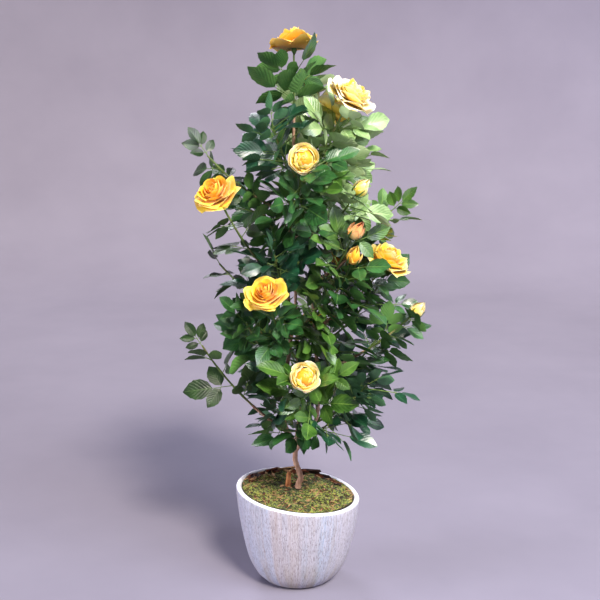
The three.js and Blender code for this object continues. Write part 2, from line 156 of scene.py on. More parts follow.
class Draws:
    """Seeded random numbers by the source's rule: a seed gives the same draws each time."""

    def __init__(self, seed: int) -> None:
        """Starts the row of draws that belongs to a seed."""
        self.state = ((seed + 1) * 2654435761) & 0xFFFFFFFF
        self.next()
        self.next()

    def next(self) -> float:
        """The next number, from 0 to 1."""
        self.state = (self.state * 1664525 + 1013904223) & 0xFFFFFFFF
        return self.state / 4294967296

    def between(self, low: float, high: float) -> float:
        """The next number, from low to high."""
        return mix(low, high, self.next())


# ---------------------------------------------------------------- finishes


class Bench:
    """The nodes of one material, with the joins that its finish asks for."""

    def __init__(self, name: str, roughness: float = 0.5) -> None:
        """Makes a material of one plain shader to build on."""
        self.material = bpy.data.materials.new(name)
        self.material.use_nodes = True
        self.tree = self.material.node_tree
        self.shader = self.tree.nodes["Principled BSDF"]
        self.set("Roughness", roughness)

    def set(self, socket: str, value: float | Sequence[float]) -> None:
        """Gives the shader's socket a value that is the same all over."""
        self.shader.inputs[socket].default_value = value

    def node(self, kind: str, **settings: object) -> bpy.types.Node:
        """Adds a node with its settings.

        Args:
            kind: the node's type, without the leading ShaderNode.
            settings: attributes of the node.

        Returns:
            The node.
        """
        made = self.tree.nodes.new("ShaderNode" + kind)
        for name, value in settings.items():
            setattr(made, name, value)
        return made

    def join(self, source: Socket, target: Socket) -> None:
        """Links two sockets."""
        self.tree.links.new(source, target)

    def place(self, stretch: Sequence[float] = (1, 1, 1)) -> Socket:
        """The place on the object, with each axis stretched by a factor."""
        mapping = self.node("Mapping")
        mapping.inputs["Scale"].default_value = stretch
        self.join(self.node("TexCoord").outputs["Object"], mapping.inputs["Vector"])
        return mapping.outputs["Vector"]

    def math(self, operation: str, a: Socket, b: Socket | float = 0) -> Socket:
        """A sum, product or other operation of a socket with another or with a number."""
        made = self.node("Math", operation=operation)
        self.join(a, made.inputs[0])
        if isinstance(b, (int, float)):
            made.inputs[1].default_value = b
        else:
            self.join(b, made.inputs[1])
        return made.outputs[0]

    def noise(self, place: Socket, scale: float, detail: float = 4, rough: float = 0.6) -> Socket:
        """Noise over a place.

        Args:
            place: the coordinates.
            scale: bumps per metre.
            detail: finer layers.
            rough: how strong the finer layers are.

        Returns:
            The noise's value, about 0.5 on average.
        """
        made = self.node("TexNoise")
        made.inputs["Scale"].default_value = scale
        made.inputs["Detail"].default_value = detail
        made.inputs["Roughness"].default_value = rough
        self.join(place, made.inputs["Vector"])
        return made.outputs["Fac"]

    def ramp(self, value: Socket, stops: Sequence[tuple[float, str]]) -> Socket:
        """Colours along a value.

        Args:
            value: the socket that is looked up.
            stops: the place and colour of each stop.

        Returns:
            The colour.
        """
        made = self.node("ValToRGB")
        steps = made.color_ramp.elements
        for step, (place, code) in zip(steps, stops):
            step.position, step.color = place, colour(code)
        for place, code in stops[2:]:
            steps.new(place).color = colour(code)
        self.join(value, made.inputs["Fac"])
        return made.outputs["Color"]

    def blend(self, share: Socket, a: Socket, b: Socket | str) -> Socket:
        """Lays colour b on colour a.

        Args:
            share: how much of b there is.
            a: the colour below.
            b: the colour on top, as a socket or a code.

        Returns:
            The mixed colour.
        """
        made = self.node("Mix", data_type="RGBA")
        self.join(share, made.inputs["Factor"])
        self.join(a, made.inputs[6])
        if isinstance(b, str):
            made.inputs[7].default_value = colour(b)
        else:
            self.join(b, made.inputs[7])
        return made.outputs[2]

    def relief(self, height: Socket, depth: float) -> None:
        """Gives the shader a relief of a depth in metres."""
        bump = self.node("Bump")
        bump.inputs["Strength"].default_value = 1
        bump.inputs["Distance"].default_value = depth
        self.join(height, bump.inputs["Height"])
        self.join(bump.outputs["Normal"], self.shader.inputs["Normal"])

    def paint(self, tone: Socket) -> None:
        """Gives the shader its colour."""
        self.join(tone, self.shader.inputs["Base Color"])

    def parts(self, place: Socket) -> bpy.types.NodeOutputs:
        """The X, Y and Z of a place."""
        split = self.node("SeparateXYZ")
        self.join(place, split.inputs[0])
        return split.outputs

    def blade(self) -> Socket:
        """The shares across and along of a leaflet or petal."""
        return self.node("UVMap", uv_map="blade").outputs[0]


def colour(code: str) -> tuple[float, float, float, float]:
    """A colour code of six hexadecimal digits as the shader's numbers."""
    parts = [int(code[i : i + 2], 16) / 255 for i in (0, 2, 4)]
    return (*[c / 12.92 if c <= 0.04045 else ((c + 0.055) / 1.055) ** 2.4 for c in parts], 1.0)


@dataclass(frozen=True)
class Mottled:
    """A finish whose colour wanders from its dark tone to its light one, over a fine relief."""

    name: str
    tones: tuple[str, ...]
    patch: float = 60  # patches of colour per metre
    stretch: tuple[float, float, float] = (1, 1, 1)
    contrast: tuple[float, float] = (0.3, 0.7)  # the noise's values at the first and last tone
    roughness: float = 0.6
    grain: float = 900  # bumps per metre
    depth: float = 0.0002  # of the relief, in metres
    sheen: float = 0.0

    def material(self) -> bpy.types.Material:
        """The finish as a material."""
        bench = Bench(self.name, self.roughness)
        place = bench.place(self.stretch)
        low, high = self.contrast
        last = len(self.tones) - 1
        stops = [(mix(low, high, i / last), tone) for i, tone in enumerate(self.tones)]
        bench.paint(bench.ramp(bench.noise(place, self.patch), stops))
        bench.relief(bench.noise(place, self.grain, 3), self.depth)
        bench.set("Sheen Weight", self.sheen)
        return bench.material


@dataclass(frozen=True)
class Whitewash:
    """Limed staves: upright strips of lilac, blue and tan under thin white paint, brushed downwards."""

    name: str = "whitewash"
    turn: float = 0.12  # metres of pattern for each radian round the wall
    strips: float = 72  # per metre round the wall
    strokes: float = 560
    tones: tuple[tuple[float, str], ...] = (
        (0.0, "99a3b8"), (0.2, "a6a4b5"), (0.42, "a29ca5"), (0.58, "a5a6b6"), (0.78, "a0989a"),
        (0.92, "abaab9"),
    )  # of the strips
    bands: tuple[tuple[float, str], ...] = (
        (0.0, "b3afbb"), (0.1, "a4acbf"), (0.26, "9facc2"), (0.29, "b0a09b"), (0.46, "b4a8aa"),
        (0.64, "aeabb8"), (0.71, "9aaecb"), (0.79, "a8afc4"), (0.82, "b2adba"), (1.0, "b6b4c2"),
    )  # broad bands of colour from -X to +X
    foot: float = 0.075  # height in metres at which the stains of the foot end
    depth: float = 0.0011

    def material(self) -> bpy.types.Material:
        """The finish as a material."""
        bench = Bench(self.name, 0.75)
        x, y, height = bench.parts(bench.place())
        level = bench.node("CombineXYZ")
        bench.join(x, level.inputs[0])
        bench.join(y, level.inputs[1])
        outward = bench.node("VectorMath", operation="NORMALIZE")
        bench.join(level.outputs[0], outward.inputs[0])
        upright, brushed, flecked = (
            self.stretched(bench, outward.outputs[0], height, share) for share in (0.02, 0.05, 0.24)
        )
        cells = bench.node("TexVoronoi", feature="F1")
        cells.inputs["Scale"].default_value = self.strips
        bench.join(upright, cells.inputs["Vector"])
        pick = bench.node("SeparateColor")
        bench.join(cells.outputs["Color"], pick.inputs[0])
        tone = bench.ramp(pick.outputs[0], self.tones)
        across = bench.math("ADD", bench.math("MULTIPLY", bench.parts(outward.outputs[0])[0], 0.5), 0.5)
        uneven = bench.ramp(bench.noise(brushed, 130, 3), [(0.35, "e8e8e8"), (0.65, "9c9c9c")])
        tone = bench.blend(uneven, tone, bench.ramp(across, self.bands))

        strokes = bench.noise(brushed, self.strokes, 5, 0.7)
        worn = bench.noise(flecked, self.strokes, 3, 0.75)
        bare = bench.noise(brushed, 70, 4)
        stain = self.share(bench, bench.noise(flecked, 46, 4), 0.46, 0.62)
        foot = bench.node("MapRange")
        foot.inputs["From Min"].default_value, foot.inputs["From Max"].default_value = self.foot, 0.0
        bench.join(height, foot.inputs["Value"])
        for share, weight, paint in (
            (self.share(bench, strokes, 0.42, 0.58), 0.66, "c8c5d2"),
            (self.share(bench, worn, 0.48, 0.39), 0.7, "7a7074"),
            (self.share(bench, bare, 0.54, 0.70), 0.34, "a08c80"),
            (bench.math("MULTIPLY", stain, foot.outputs[0]), 0.6, "9f9170"),
        ):
            tone = bench.blend(bench.math("MULTIPLY", share, weight), tone, paint)
        bench.paint(tone)
        bench.relief(bench.math("ADD", strokes, bench.math("MULTIPLY", worn, 1.3)), self.depth)
        return bench.material

    def share(self, bench: Bench, value: Socket, none: float, full: float) -> Socket:
        """A share that is 0 where a value meets one limit and 1 where it meets the other."""
        return bench.ramp(value, sorted([(none, "000000"), (full, "ffffff")]))

    def stretched(self, bench: Bench, outward: Socket, height: Socket, share: float) -> Socket:
        """Coordinates that run round the wall and only slowly up it.

        Args:
            bench: the material's bench.
            outward: the level direction from the pot's axis.
            height: the height.
            share: how much of the height is left.

        Returns:
            The coordinates.
        """
        wide = bench.node("VectorMath", operation="SCALE")
        bench.join(outward, wide.inputs[0])
        wide.inputs["Scale"].default_value = self.turn
        tall = bench.node("CombineXYZ")
        bench.join(bench.math("MULTIPLY", height, share), tall.inputs[2])
        total = bench.node("VectorMath", operation="ADD")
        bench.join(wide.outputs[0], total.inputs[0])
        bench.join(tall.outputs[0], total.inputs[1])
        return total.outputs[0]


@dataclass(frozen=True)
class Petal:
    """Silk that is dyed from one tone at a petal's foot to another at its lip, by the petal's own UV map."""

    name: str
    tones: tuple[tuple[float, str], ...]
    roughness: float = 0.55
    streaks: tuple[float, float, float] = (9, 1.2, 1)  # across and along a petal
    wander: float = 0.35  # how far a streak moves the tones along
    weave: float = 700  # bumps per metre
    depth: float = 0.00025
    glow: tuple[float, float, float] = (0.006, 0.0045, 0.0015)  # metres that light spreads inside

    def material(self) -> bpy.types.Material:
        """The finish as a material."""
        bench = Bench(self.name, self.roughness)
        along = bench.parts(bench.blade())[1]
        streaks = bench.node("Mapping")
        streaks.inputs["Scale"].default_value = self.streaks
        bench.join(bench.blade(), streaks.inputs["Vector"])
        centred = bench.math("SUBTRACT", bench.noise(streaks.outputs[0], 1.0, 3), 0.5)
        shifted = bench.math("ADD", along, bench.math("MULTIPLY", centred, self.wander))
        bench.paint(bench.ramp(shifted, self.tones))
        bench.relief(bench.noise(bench.place(), self.weave, 3), self.depth)
        bench.set("Sheen Weight", 0.25)
        bench.set("Sheen Roughness", 0.5)
        bench.set("Subsurface Weight", 0.3)
        bench.set("Subsurface Radius", self.glow)
        return bench.material


@dataclass(frozen=True)
class LeafSkin:
    """Printed silk: a green that wanders, with paler side veins pressed in along the leaflet's own UV map."""

    name: str
    tones: tuple[str, str]
    vein: str
    gloss: float  # weight of the clear coat
    roughness: float = 0.38
    veins: float = 7  # pairs of side veins
    sweep: float = 4.4  # how far they run to the tip
    patch: float = 28  # patches of colour per metre
    grain: float = 420  # bumps per metre
    depth: float = 0.0005

    def material(self) -> bpy.types.Material:
        """The finish as a material."""
        bench = Bench(self.name, self.roughness)
        across, along, _ = bench.parts(bench.blade())
        aside = bench.math("ABSOLUTE", bench.math("SUBTRACT", across, 0.5))
        swept = bench.math("MULTIPLY", aside, self.sweep)
        phase = bench.math("SUBTRACT", bench.math("MULTIPLY", along, self.veins), swept)
        wave = bench.math("ABSOLUTE", bench.math("SINE", bench.math("MULTIPLY", phase, math.pi)))
        patches = bench.noise(bench.place(), self.patch, 3)
        base = bench.ramp(patches, [(0.35, self.tones[0]), (0.65, self.tones[1])])
        line = bench.ramp(wave, [(0.0, "ffffff"), (0.3, "000000")])
        bench.paint(bench.blend(bench.math("MULTIPLY", line, 0.3), base, self.vein))
        grain = bench.noise(bench.place(), self.grain, 2)
        bench.relief(bench.math("ADD", wave, bench.math("MULTIPLY", grain, 0.5)), self.depth)
        bench.set("Coat Weight", self.gloss)
        bench.set("Coat Roughness", 0.28)
        return bench.material


class LeafTint(Enum):
    """The greens of the sprays: the leaf's tones, its veins', its underside's, and its gloss."""

    DEEP = (("052418", "1c5032"), "3a6644", ("356040", "4c784c"), 0.95)
    DARK = (("0a2f0c", "386c36"), "557c3c", ("3e6c30", "5a863e"), 0.95)
    # painted shade: a darker, duller green for the left arms, which stand on the side away from the key light
    DUSK = (("0e200b", "2e4c22"), "425c30", ("325026", "4c6a30"), 0.3)
    OLIVE = (("234a11", "567f31"), "6e9040", ("54802e", "7e9e3a"), 0.95)
    # a paler green; where it is dealt to the upper right it is partly painted light, where the key light and
    # sheen fall
    PALE = (("648a48", "a4c084"), "b0c888", ("98b478", "b6ca98"), 0.8)

    def finishes(self) -> tuple[LeafSkin, Mottled, LeafSkin]:
        """The finishes of the blade's top, its midrib and its underside."""
        tones, vein, under, gloss = self.value
        name = self.name.lower()
        return (
            LeafSkin(f"leaf_{name}", tones, vein, gloss),
            Mottled(f"rib_{name}", (vein, vein), roughness=0.4, grain=900, depth=0.0001),
            LeafSkin(f"under_{name}", under, vein, 0.0, 0.55),
        )


Finish = Mottled | Whitewash | Petal | LeafSkin
MATERIALS: dict[str, bpy.types.Material] = {}


def dressed(finish: Finish) -> bpy.types.Material:
    """The material of a finish, made once."""
    if finish.name not in MATERIALS:
        MATERIALS[finish.name] = finish.material()
    return MATERIALS[finish.name]


BARK = Mottled(
    "bark", ("7c5a46", "b0886f", "dab69e"), 90, (1, 1, 0.22), roughness=0.75, grain=420, depth=0.0009
)
STUB_WOOD = Mottled(
    "stub_wood", ("6a3a20", "b87446", "dda873"), 160, (1, 1, 0.35), roughness=0.8, grain=520, depth=0.0008
)
SPRAY_GREEN = Mottled("spray_green", ("32451e", "586e34", "867c50"), 26, roughness=0.45, grain=700)
STALK_GREEN = Mottled("stalk_green", ("4c6a30", "7c944c"), 30, roughness=0.45, grain=700, depth=0.0001)
SEPAL_GREEN = Mottled("sepal_green", ("2c4a22", "4a6b2e"), 60, roughness=0.5, grain=700)
LIP_WHITE = Mottled("lip_white", ("dedce8", "f6f5fc"), 60, roughness=0.6, grain=420, depth=0.0006)
PEAT = Mottled("peat", ("130d07", "2e2314", "4c4a20"), 130, roughness=0.95, grain=500, depth=0.0015)
PAPER = Mottled("paper", ("7d7888", "858090"), 2, roughness=0.95, grain=300, depth=0.0001)
MOSS_TONES = (
    Mottled("moss_dark", ("2a3a0e", "4c5c1c"), 140, roughness=0.95, depth=0.0004, sheen=0.2),
    Mottled("moss_olive", ("5f6d20", "84902e"), 140, roughness=0.95, depth=0.0004, sheen=0.2),
    Mottled("moss_bright", ("8c9a2e", "b4bc48"), 140, roughness=0.95, depth=0.0004, sheen=0.2),
    Mottled("moss_straw", ("947c44", "c8ab78"), 140, roughness=0.9, depth=0.0004),
)
CHIP_TONES = {"black": ("120703", "2e150b"), "red": ("3c1407", "6d3417"), "tan": ("8a6238", "c39d72")}
BARK_CHIPS = [
    Mottled(f"chip_{name}", tones, 200, roughness=0.85, grain=600, depth=0.0006)
    for name, tones in CHIP_TONES.items()
]


# ---------------------------------------------------------------- meshes


def rolled(sides: int, rings: int, rule: Callable[[float, float], Vector]) -> BMesh:
    """A closed tube: a grid rolled up, with its seam and its ends closed.

    Args:
        sides: faces round the tube.
        rings: faces along it.
        rule: gives a place in millimetres from the angle round it and the share along it.

    Returns:
        The mesh.
    """
    bm = bmesh.new()
    bmesh.ops.create_grid(bm, x_segments=sides, y_segments=rings, size=0.5)
    for v in bm.verts:
        v.co = rule(2 * math.pi * (v.co.x + 0.5), clamp01(v.co.y + 0.5))
    bmesh.ops.remove_doubles(bm, verts=bm.verts[:], dist=1e-3)
    bmesh.ops.holes_fill(bm, edges=[e for e in bm.edges if e.is_boundary], sides=0)
    bmesh.ops.recalc_face_normals(bm, faces=bm.faces[:])
    return bm


def turned(outline: Sequence[tuple[float, float]], steps: int, merge: float = 1e-3) -> BMesh:
    """An outline of radius and height spun about the upright axis.

    Args:
        outline: from the axis outwards, and back to the axis for a closed solid.
        steps: faces round it.
        merge: corners nearer to each other than this become one.

    Returns:
        The mesh.
    """
    bm = bmesh.new()
    verts = [bm.verts.new((r, 0, z)) for r, z in outline]
    edges = [bm.edges.new(pair) for pair in zip(verts, verts[1:])]
    bmesh.ops.spin(
        bm, geom=verts + edges, axis=(0, 0, 1), cent=(0, 0, 0), steps=steps, angle=2 * math.pi, use_merge=True
    )
    bmesh.ops.remove_doubles(bm, verts=bm.verts[:], dist=merge)
    bmesh.ops.recalc_face_normals(bm, faces=bm.faces[:])
    return bm


@dataclass
class Blade:
    """A leaflet, petal or sepal: a top and an underside that meet along the outline."""

    across: tuple[float, ...]  # the top's columns, from -1 to 1
    rows: int
    shape: Callable[[float, float], Vector]  # the top's place from the share across and along
    under: tuple[float, ...]  # the underside's columns
    thickness: float
    rib: float = 0.0  # columns within this share of the middle take the second finish

    def build(self) -> BMesh:
        """The blade as a closed mesh, with its shares across and along as its UV map.

        Returns:
            The mesh: finish 0 on top, 1 on the midrib, 2 underneath.
        """
        bm = bmesh.new()
        uv = bm.loops.layers.uv.new("blade")
        for columns, below in ((self.across, False), (self.under, True)):
            known = set(bm.verts)
            faces = set(bm.faces)
            count = len(columns) - 1
            bmesh.ops.create_grid(bm, x_segments=count, y_segments=self.rows, size=0.5)
            shares = {}
            for v in set(bm.verts) - known:
                u = columns[round((v.co.x + 0.5) * count)]
                along = clamp01(v.co.y + 0.5)
                shares[v] = (u, along)
                v.co = self.shape(u, along)
                if below:
                    v.co -= self.normal(u, along) * self.thickness * (1 - u * u) * (1 - (2 * along - 1) ** 4)
            for face in set(bm.faces) - faces:
                middle = sum(shares[v][0] for v in face.verts) / 4
                face.material_index = 2 if below else int(abs(middle) < self.rib)
                face.smooth = True
                for loop in face.loops:
                    u, along = shares[loop.vert]
                    loop[uv].uv = (u * 0.5 + 0.5, along)
                if below:
                    face.normal_flip()
        bmesh.ops.remove_doubles(bm, verts=bm.verts[:], dist=1e-5)
        bmesh.ops.recalc_face_normals(bm, faces=bm.faces[:])
        return bm

    def normal(self, u: float, along: float) -> Vector:
        """The top's direction outwards at a place."""
        step = 0.02
        a, b = min(1 - step, max(step - 1, u)), min(1 - step, max(step, along))
        run = self.shape(a, b + step) - self.shape(a, b - step)
        side = self.shape(a + step, b) - self.shape(a - step, b)
        return run.cross(side).normalized()


class Template:
    """A small mesh that is copied many times, as arrays."""

    def __init__(self, bm: BMesh) -> None:
        """Reads the mesh's arrays and frees it."""
        bm.verts.index_update()
        uv = bm.loops.layers.uv.get("blade")
        self.points = np.array([v.co for v in bm.verts], np.float32).reshape(-1, 3)
        self.corners = np.array([v.index for f in bm.faces for v in f.verts], np.int32)
        self.sizes = np.array([len(f.verts) for f in bm.faces], np.int32)
        self.finish = np.array([f.material_index for f in bm.faces], np.int32)
        flat = [(0.0, 0.0)] * len(self.corners)
        self.uv = np.array([l[uv].uv[:] for f in bm.faces for l in f.loops] if uv else flat, np.float32)
        bm.free()


class Batch:
    """Copies of templates, joined into one mesh."""

    def __init__(self, name: str) -> None:
        """Starts an empty piece with a name."""
        self.name = name
        self.parts: list[tuple[Template, np.ndarray, int]] = []

    def add(self, template: Template, place: Matrix, finish: int = 0) -> None:
        """Adds a copy.

        Args:
            template: what is copied.
            place: where it goes, in millimetres.
            finish: how far its finishes are counted on in the piece's list.
        """
        m = np.array(place, np.float32)
        self.parts.append((template, template.points @ m[:3, :3].T + m[:3, 3], finish))

    def build(self, finishes: Sequence[Finish], crease: float = 50) -> Piece:
        """The joined piece.

        Args:
            finishes: in the order in which the templates count them.
            crease: edges sharper than this many degrees stay sharp.

        Returns:
            The object, in metres.
        """
        mesh = bpy.data.meshes.new(self.name)
        starts = np.cumsum([0] + [len(points) for _, points, _ in self.parts])
        sizes = np.concatenate([t.sizes for t, _, _ in self.parts])
        points = np.concatenate([p for _, p, _ in self.parts]) * MM
        corners = np.concatenate([t.corners + s for (t, _, _), s in zip(self.parts, starts)])
        slots = np.concatenate([t.finish + f for t, _, f in self.parts])
        shares = np.concatenate([t.uv for t, _, _ in self.parts])
        mesh.vertices.add(len(points))
        mesh.vertices.foreach_set("co", points.ravel())
        mesh.loops.add(len(corners))
        mesh.loops.foreach_set("vertex_index", corners.astype(np.int32))
        mesh.polygons.add(len(sizes))
        mesh.polygons.foreach_set("loop_start", np.concatenate([[0], np.cumsum(sizes)[:-1]]).astype(np.int32))
        mesh.polygons.foreach_set("material_index", slots.astype(np.int32))
        mesh.polygons.foreach_set("use_smooth", np.ones(len(sizes), bool))
        mesh.uv_layers.new(name="blade").data.foreach_set("uv", shares.ravel())
        mesh.update(calc_edges=True)
        mesh.validate()
        mesh.set_sharp_from_angle(angle=math.radians(crease))
        return finished(mesh, finishes)


def mesh_of(name: str, bm: BMesh) -> bpy.types.Mesh:
    """A mesh with smooth faces, from one that is freed."""
    for face in bm.faces:
        face.smooth = True
    mesh = bpy.data.meshes.new(name)
    bm.to_mesh(mesh)
    bm.free()
    return mesh


def linked(name: str, data: bpy.types.ID) -> Piece:
    """A new object in the scene that holds a mesh, a light or a camera."""
    made = bpy.data.objects.new(name, data)
    bpy.context.scene.collection.objects.link(made)
    return made


def finished(mesh: bpy.types.Mesh, finishes: Sequence[Finish]) -> Piece:
    """Puts a mesh in the scene with its finishes.

    Args:
        mesh: the piece's mesh, in metres; its name becomes the piece's.
        finishes: the finishes of its slots.

    Returns:
        The object, which stands at the origin and rides on the part's one body.
    """
    for finish in finishes:
        mesh.materials.append(dressed(finish))
    piece = linked(mesh.name, mesh)
    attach(piece, "root")
    return piece


def piece_of(name: str, bm: BMesh, finishes: Sequence[Finish], crease: float = 60) -> Piece:
    """A mesh in millimetres as a finished piece.

    Args:
        name: the piece's name.
        bm: its mesh, which is freed.
        finishes: the finishes of its slots.
        crease: edges sharper than this many degrees stay sharp.

    Returns:
        The object.
    """
    bmesh.ops.scale(bm, vec=(MM, MM, MM), verts=bm.verts[:])
    mesh = mesh_of(name, bm)
    mesh.set_sharp_from_angle(angle=math.radians(crease))
    return finished(mesh, finishes)


# ---------------------------------------------------------------- pot


@dataclass
class Pot:
    """The cup-shaped pot: limed staves under a thick white lip, with a rim that falls from left to right."""

    profile: tuple[tuple[float, float], ...] = (
        (60, 0), (77, 6), (94, 32), (104, 58), (112, 92), (118, 122), (123, 160), (124, 180),
    )  # radius, height
    height: float = 186
    wall: float = 11
    floor: float = 16
    rim_slope: float = 0.113
    lip: float = 0.24  # how far down the white of the lip comes, as a share of the wall
    relief: float = 0.45
    girth: float = 120  # millimetres of relief pattern for each radian round the wall
    steps: int = 144

    def radius(self, z: float) -> float:
        """The outer radius at a height, on straight lines between the profile's points."""
        for (r0, z0), (r1, z1) in zip(self.profile, self.profile[1:]):
            if z <= z1:
                return mix(r0, r1, clamp01((z - z0) / (z1 - z0)))
        return self.profile[-1][0]

    def rounded(self, z: float) -> float:
        """The outer radius with the profile's corners rounded off."""
        reach = min(11.0, z, self.height - z)
        return sum(self.radius(z + reach * k / 3) for k in range(-3, 4)) / 7

    def sloped(self, p: Vector) -> Vector:
        """A point of the level pot, moved by the fall of its rim."""
        p.z -= self.rim_slope * p.x * smooth(clamp01(p.z / self.height))
        return p

    def outline(self) -> list[tuple[float, float]]:
        """The wall's cross-section: underside, outer face, rounded lip, inner face and floor."""
        half = self.wall / 2
        middle = (self.profile[-1][0] - half, self.height - half)
        outer = [(self.rounded(z), z) for z in (2, 4, 6, 9, 12, 16, 20)]
        outer += [(self.rounded(z), z) for z in range(26, 180, 6)]
        curl = [
            (middle[0] + half * math.cos(a), middle[1] + half * math.sin(a))
            for a in np.linspace(0.1, math.pi - 0.1, 9)
        ]
        inner = [(self.radius(z) - self.wall, z) for z in (179, 160, 122, 92, 58, 34, self.floor)]
        return [(0, 0), (52, 0), (58.5, 0), (60.6, 0.6), *outer, *curl, *inner, (0, self.floor)]

    def build(self) -> Piece:
        """The pot's piece, in place of its plain solid.

        Returns:
            The object.
        """
        bm = turned(self.outline(), self.steps)
        lip_foot = self.height - self.wall * self.lip
        for face in bm.faces:
            middle = face.calc_center_median()
            level = math.hypot(middle.x, middle.y)
            inside = level < self.radius(middle.z) - 0.7 * self.wall and middle.z > 1
            face.material_index = int(middle.z > lip_foot or inside)
        for v in bm.verts:
            level = math.hypot(v.co.x, v.co.y)
            if level > 40 and v.co.z > 0.3:
                outward = Vector((v.co.x, v.co.y, 0)) / level
                x, y = outward.x * self.girth, outward.y * self.girth
                staves = lumps(Vector((x, y, v.co.z * 0.05)), 5.0, 2.0)
                dents = lumps(Vector((x, y, v.co.z * 0.5)), 9.0, 5.0)
                v.co += outward * self.relief * (staves + 0.8 * dents)
                if v.co.z > lip_foot:
                    v.co.z += 0.5 * self.relief * dents
            self.sloped(v.co)
        pot = piece_of("limed_pot", bm, (Whitewash(), LIP_WHITE), 70)
        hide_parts("pot")
        return pot


# ---------------------------------------------------------------- moss, litter and stub


@dataclass
class Moss:
    """The bed of moss, with its tufts, straw, bark chips and the sawn stub."""

    pot: Pot
    edge: float = 179
    crown: float = 8
    bump: float = 2.5
    seat: float = 36  # radius of the flat middle
    level: float = 92  # radius from which the bed follows the whole fall of the rim
    sink: float = 1.2  # how far the bed's middle lies below the plain one
    swell: float = 6.5  # how far it stands over the plain one at the rim
    tufts: int = 6400
    straws: int = 260
    chips: int = 46
    strips: tuple[tuple[float, float, float, float, int], ...] = (
        (196, 6, 40, 9, 2), (168, 8, 46, 13, 0), (150, 9, 30, 11, 0), (178, 13, 26, 10, 1),
        (212, 9, 24, 10, 1),
    )  # bark strips along the back: azimuth, distance from the wall, length, width and tone
    chip_tones: tuple[int, ...] = (0, 1, 0, 2, 1)
    seeds: tuple[int, int] = (401, 733)  # of the tufts and of the litter
    # painted shade: the tufts darken in a patch by the trunk's foot, standing for the shade in the hollow
    # there
    shade: tuple[float, float, float] = (-22, 14, 1300)  # the dark patch by the trunk: x, y and spread
    stub_foot: tuple[float, float] = (-20, 20)
    stub_radii: tuple[float, float] = (6.0, 4.2)  # at its foot and its top
    stub_height: float = 30
    steps: int = 132

    @property
    def ground(self) -> float:
        """The height of the flat seat that the trunk stands on."""
        return self.edge + self.crown + CLEARANCE

    def height(self, p: Vector) -> float:
        """The moss's height at a level place, by the source's rule with finer lumps on it."""
        r, a = math.hypot(p.x, p.y), math.atan2(p.y, p.x)
        share = clamp01((r - self.seat) / (self.pot.profile[-1][0] - self.pot.wall - self.seat))
        bumps = math.sin(5 * a + r / 9) + math.sin(9 * a - r / 6)
        z = self.edge + self.crown * (1 - smooth(share)) + self.bump * bumps * share * (1 - share) * 2
        z -= self.pot.rim_slope * p.x * smooth(clamp01((r - self.seat) / (self.level - self.seat)))
        fine = 1.5 * lumps(Vector((p.x, p.y, 0)), 14, 1) + 1.0 * lumps(Vector((p.x, p.y, 0)), 5, 4)
        return z - self.sink + self.swell * share + fine * clamp01((r - 9) / 10)

    def build(self) -> list[Piece]:
        """The bed, the tufts, the litter and the stub.

        Returns:
            The pieces.
        """
        rim = self.pot.radius(self.edge) - self.pot.wall
        top = [(r, self.edge) for r in np.linspace(0, rim - 0.2, 30)]
        wall = [(self.pot.radius(z) - self.pot.wall - 0.2, z) for z in (170, 150, 122, 92, 58, 34)]
        low = self.pot.floor + 0.4
        bm = turned([*top, *wall, (self.pot.radius(17) - self.pot.wall - 1, low), (0, low)], self.steps)
        for v in bm.verts:
            if v.co.z > self.edge - 1:
                v.co.z = self.height(v.co)
            else:
                self.pot.sloped(v.co)
        bed = piece_of("moss_bed", bm, (PEAT,))
        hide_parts("moss")
        return [bed, self.tuft_piece(rim), self.litter_piece(rim), self.stub_piece()]

    def spot(self, draws: Draws, rim: float) -> Vector:
        """A drawn place on the moss."""
        reach, a = rim * math.sqrt(draws.between(0.002, 0.985)), draws.between(0, 2 * math.pi)
        p = Vector((reach * math.cos(a), reach * math.sin(a), 0))
        p.z = self.height(p)
        return p

    def tuft(self, draws: Draws) -> Template:
        """One tuft: seven pointed leaflets that lean out of one foot."""
        bm = bmesh.new()
        for k in range(7):
            lean = turn_and_lean(math.radians(k * GOLDEN_ANGLE), draws.between(0.25, 1.15), "Y")
            tall = draws.between(4.0, 6.5)
            bmesh.ops.create_cone(
                bm, cap_ends=True, segments=3, radius1=draws.between(0.8, 1.3), radius2=0, depth=tall,
                matrix=lean @ Matrix.Translation((0, 0, tall / 2)),
            )
        return Template(bm)

    def tuft_piece(self, rim: float) -> Piece:
        """All the tufts, in tones that vary in patches: darker towards the back, with painted shade in the
        hollow by the trunk's foot.
        """
        draws = Draws(self.seeds[0])
        kinds = [self.tuft(draws) for _ in range(5)]
        batch = Batch("moss_tufts")
        x, y, spread = self.shade
        for i in range(self.tufts):
            p = self.spot(draws, rim - 1)
            tone = 0.5 * lumps(p, 26, 8) + 0.5 * lumps(p, 8, 11) + draws.between(-0.62, 0.58)
            # painted shade: darker in the patch by the trunk's foot; the tufts are also darker towards the
            # back
            tone -= 0.75 * math.exp(-((p.x - x) ** 2 + (p.y - y) ** 2) / spread) + (0.35 if p.y > 55 else 0)
            pick = 0 if tone < -0.28 else 1 if tone < 0.12 else 2 if tone < 0.62 else 3
            spin = turn_and_lean(draws.between(0, FULL_TURN), draws.between(-0.5, 0.5))
            size = Matrix.Scale(draws.between(0.42, 0.85), 4)
            batch.add(kinds[i % len(kinds)], Matrix.Translation(p - UP * 1.6) @ spin @ size, pick)
        return batch.build(MOSS_TONES, 180)

    def chip(self, draws: Draws) -> Template:
        """A cube of uneven corners, to be stretched to a chip or a straw."""
        bm = bmesh.new()
        bmesh.ops.create_cube(bm, size=1)
        bmesh.ops.subdivide_edges(bm, edges=bm.edges[:], cuts=1, use_grid_fill=True)
        for v in bm.verts:
            v.co += Vector([draws.between(-0.16, 0.16) for _ in range(3)])
        return Template(bm)

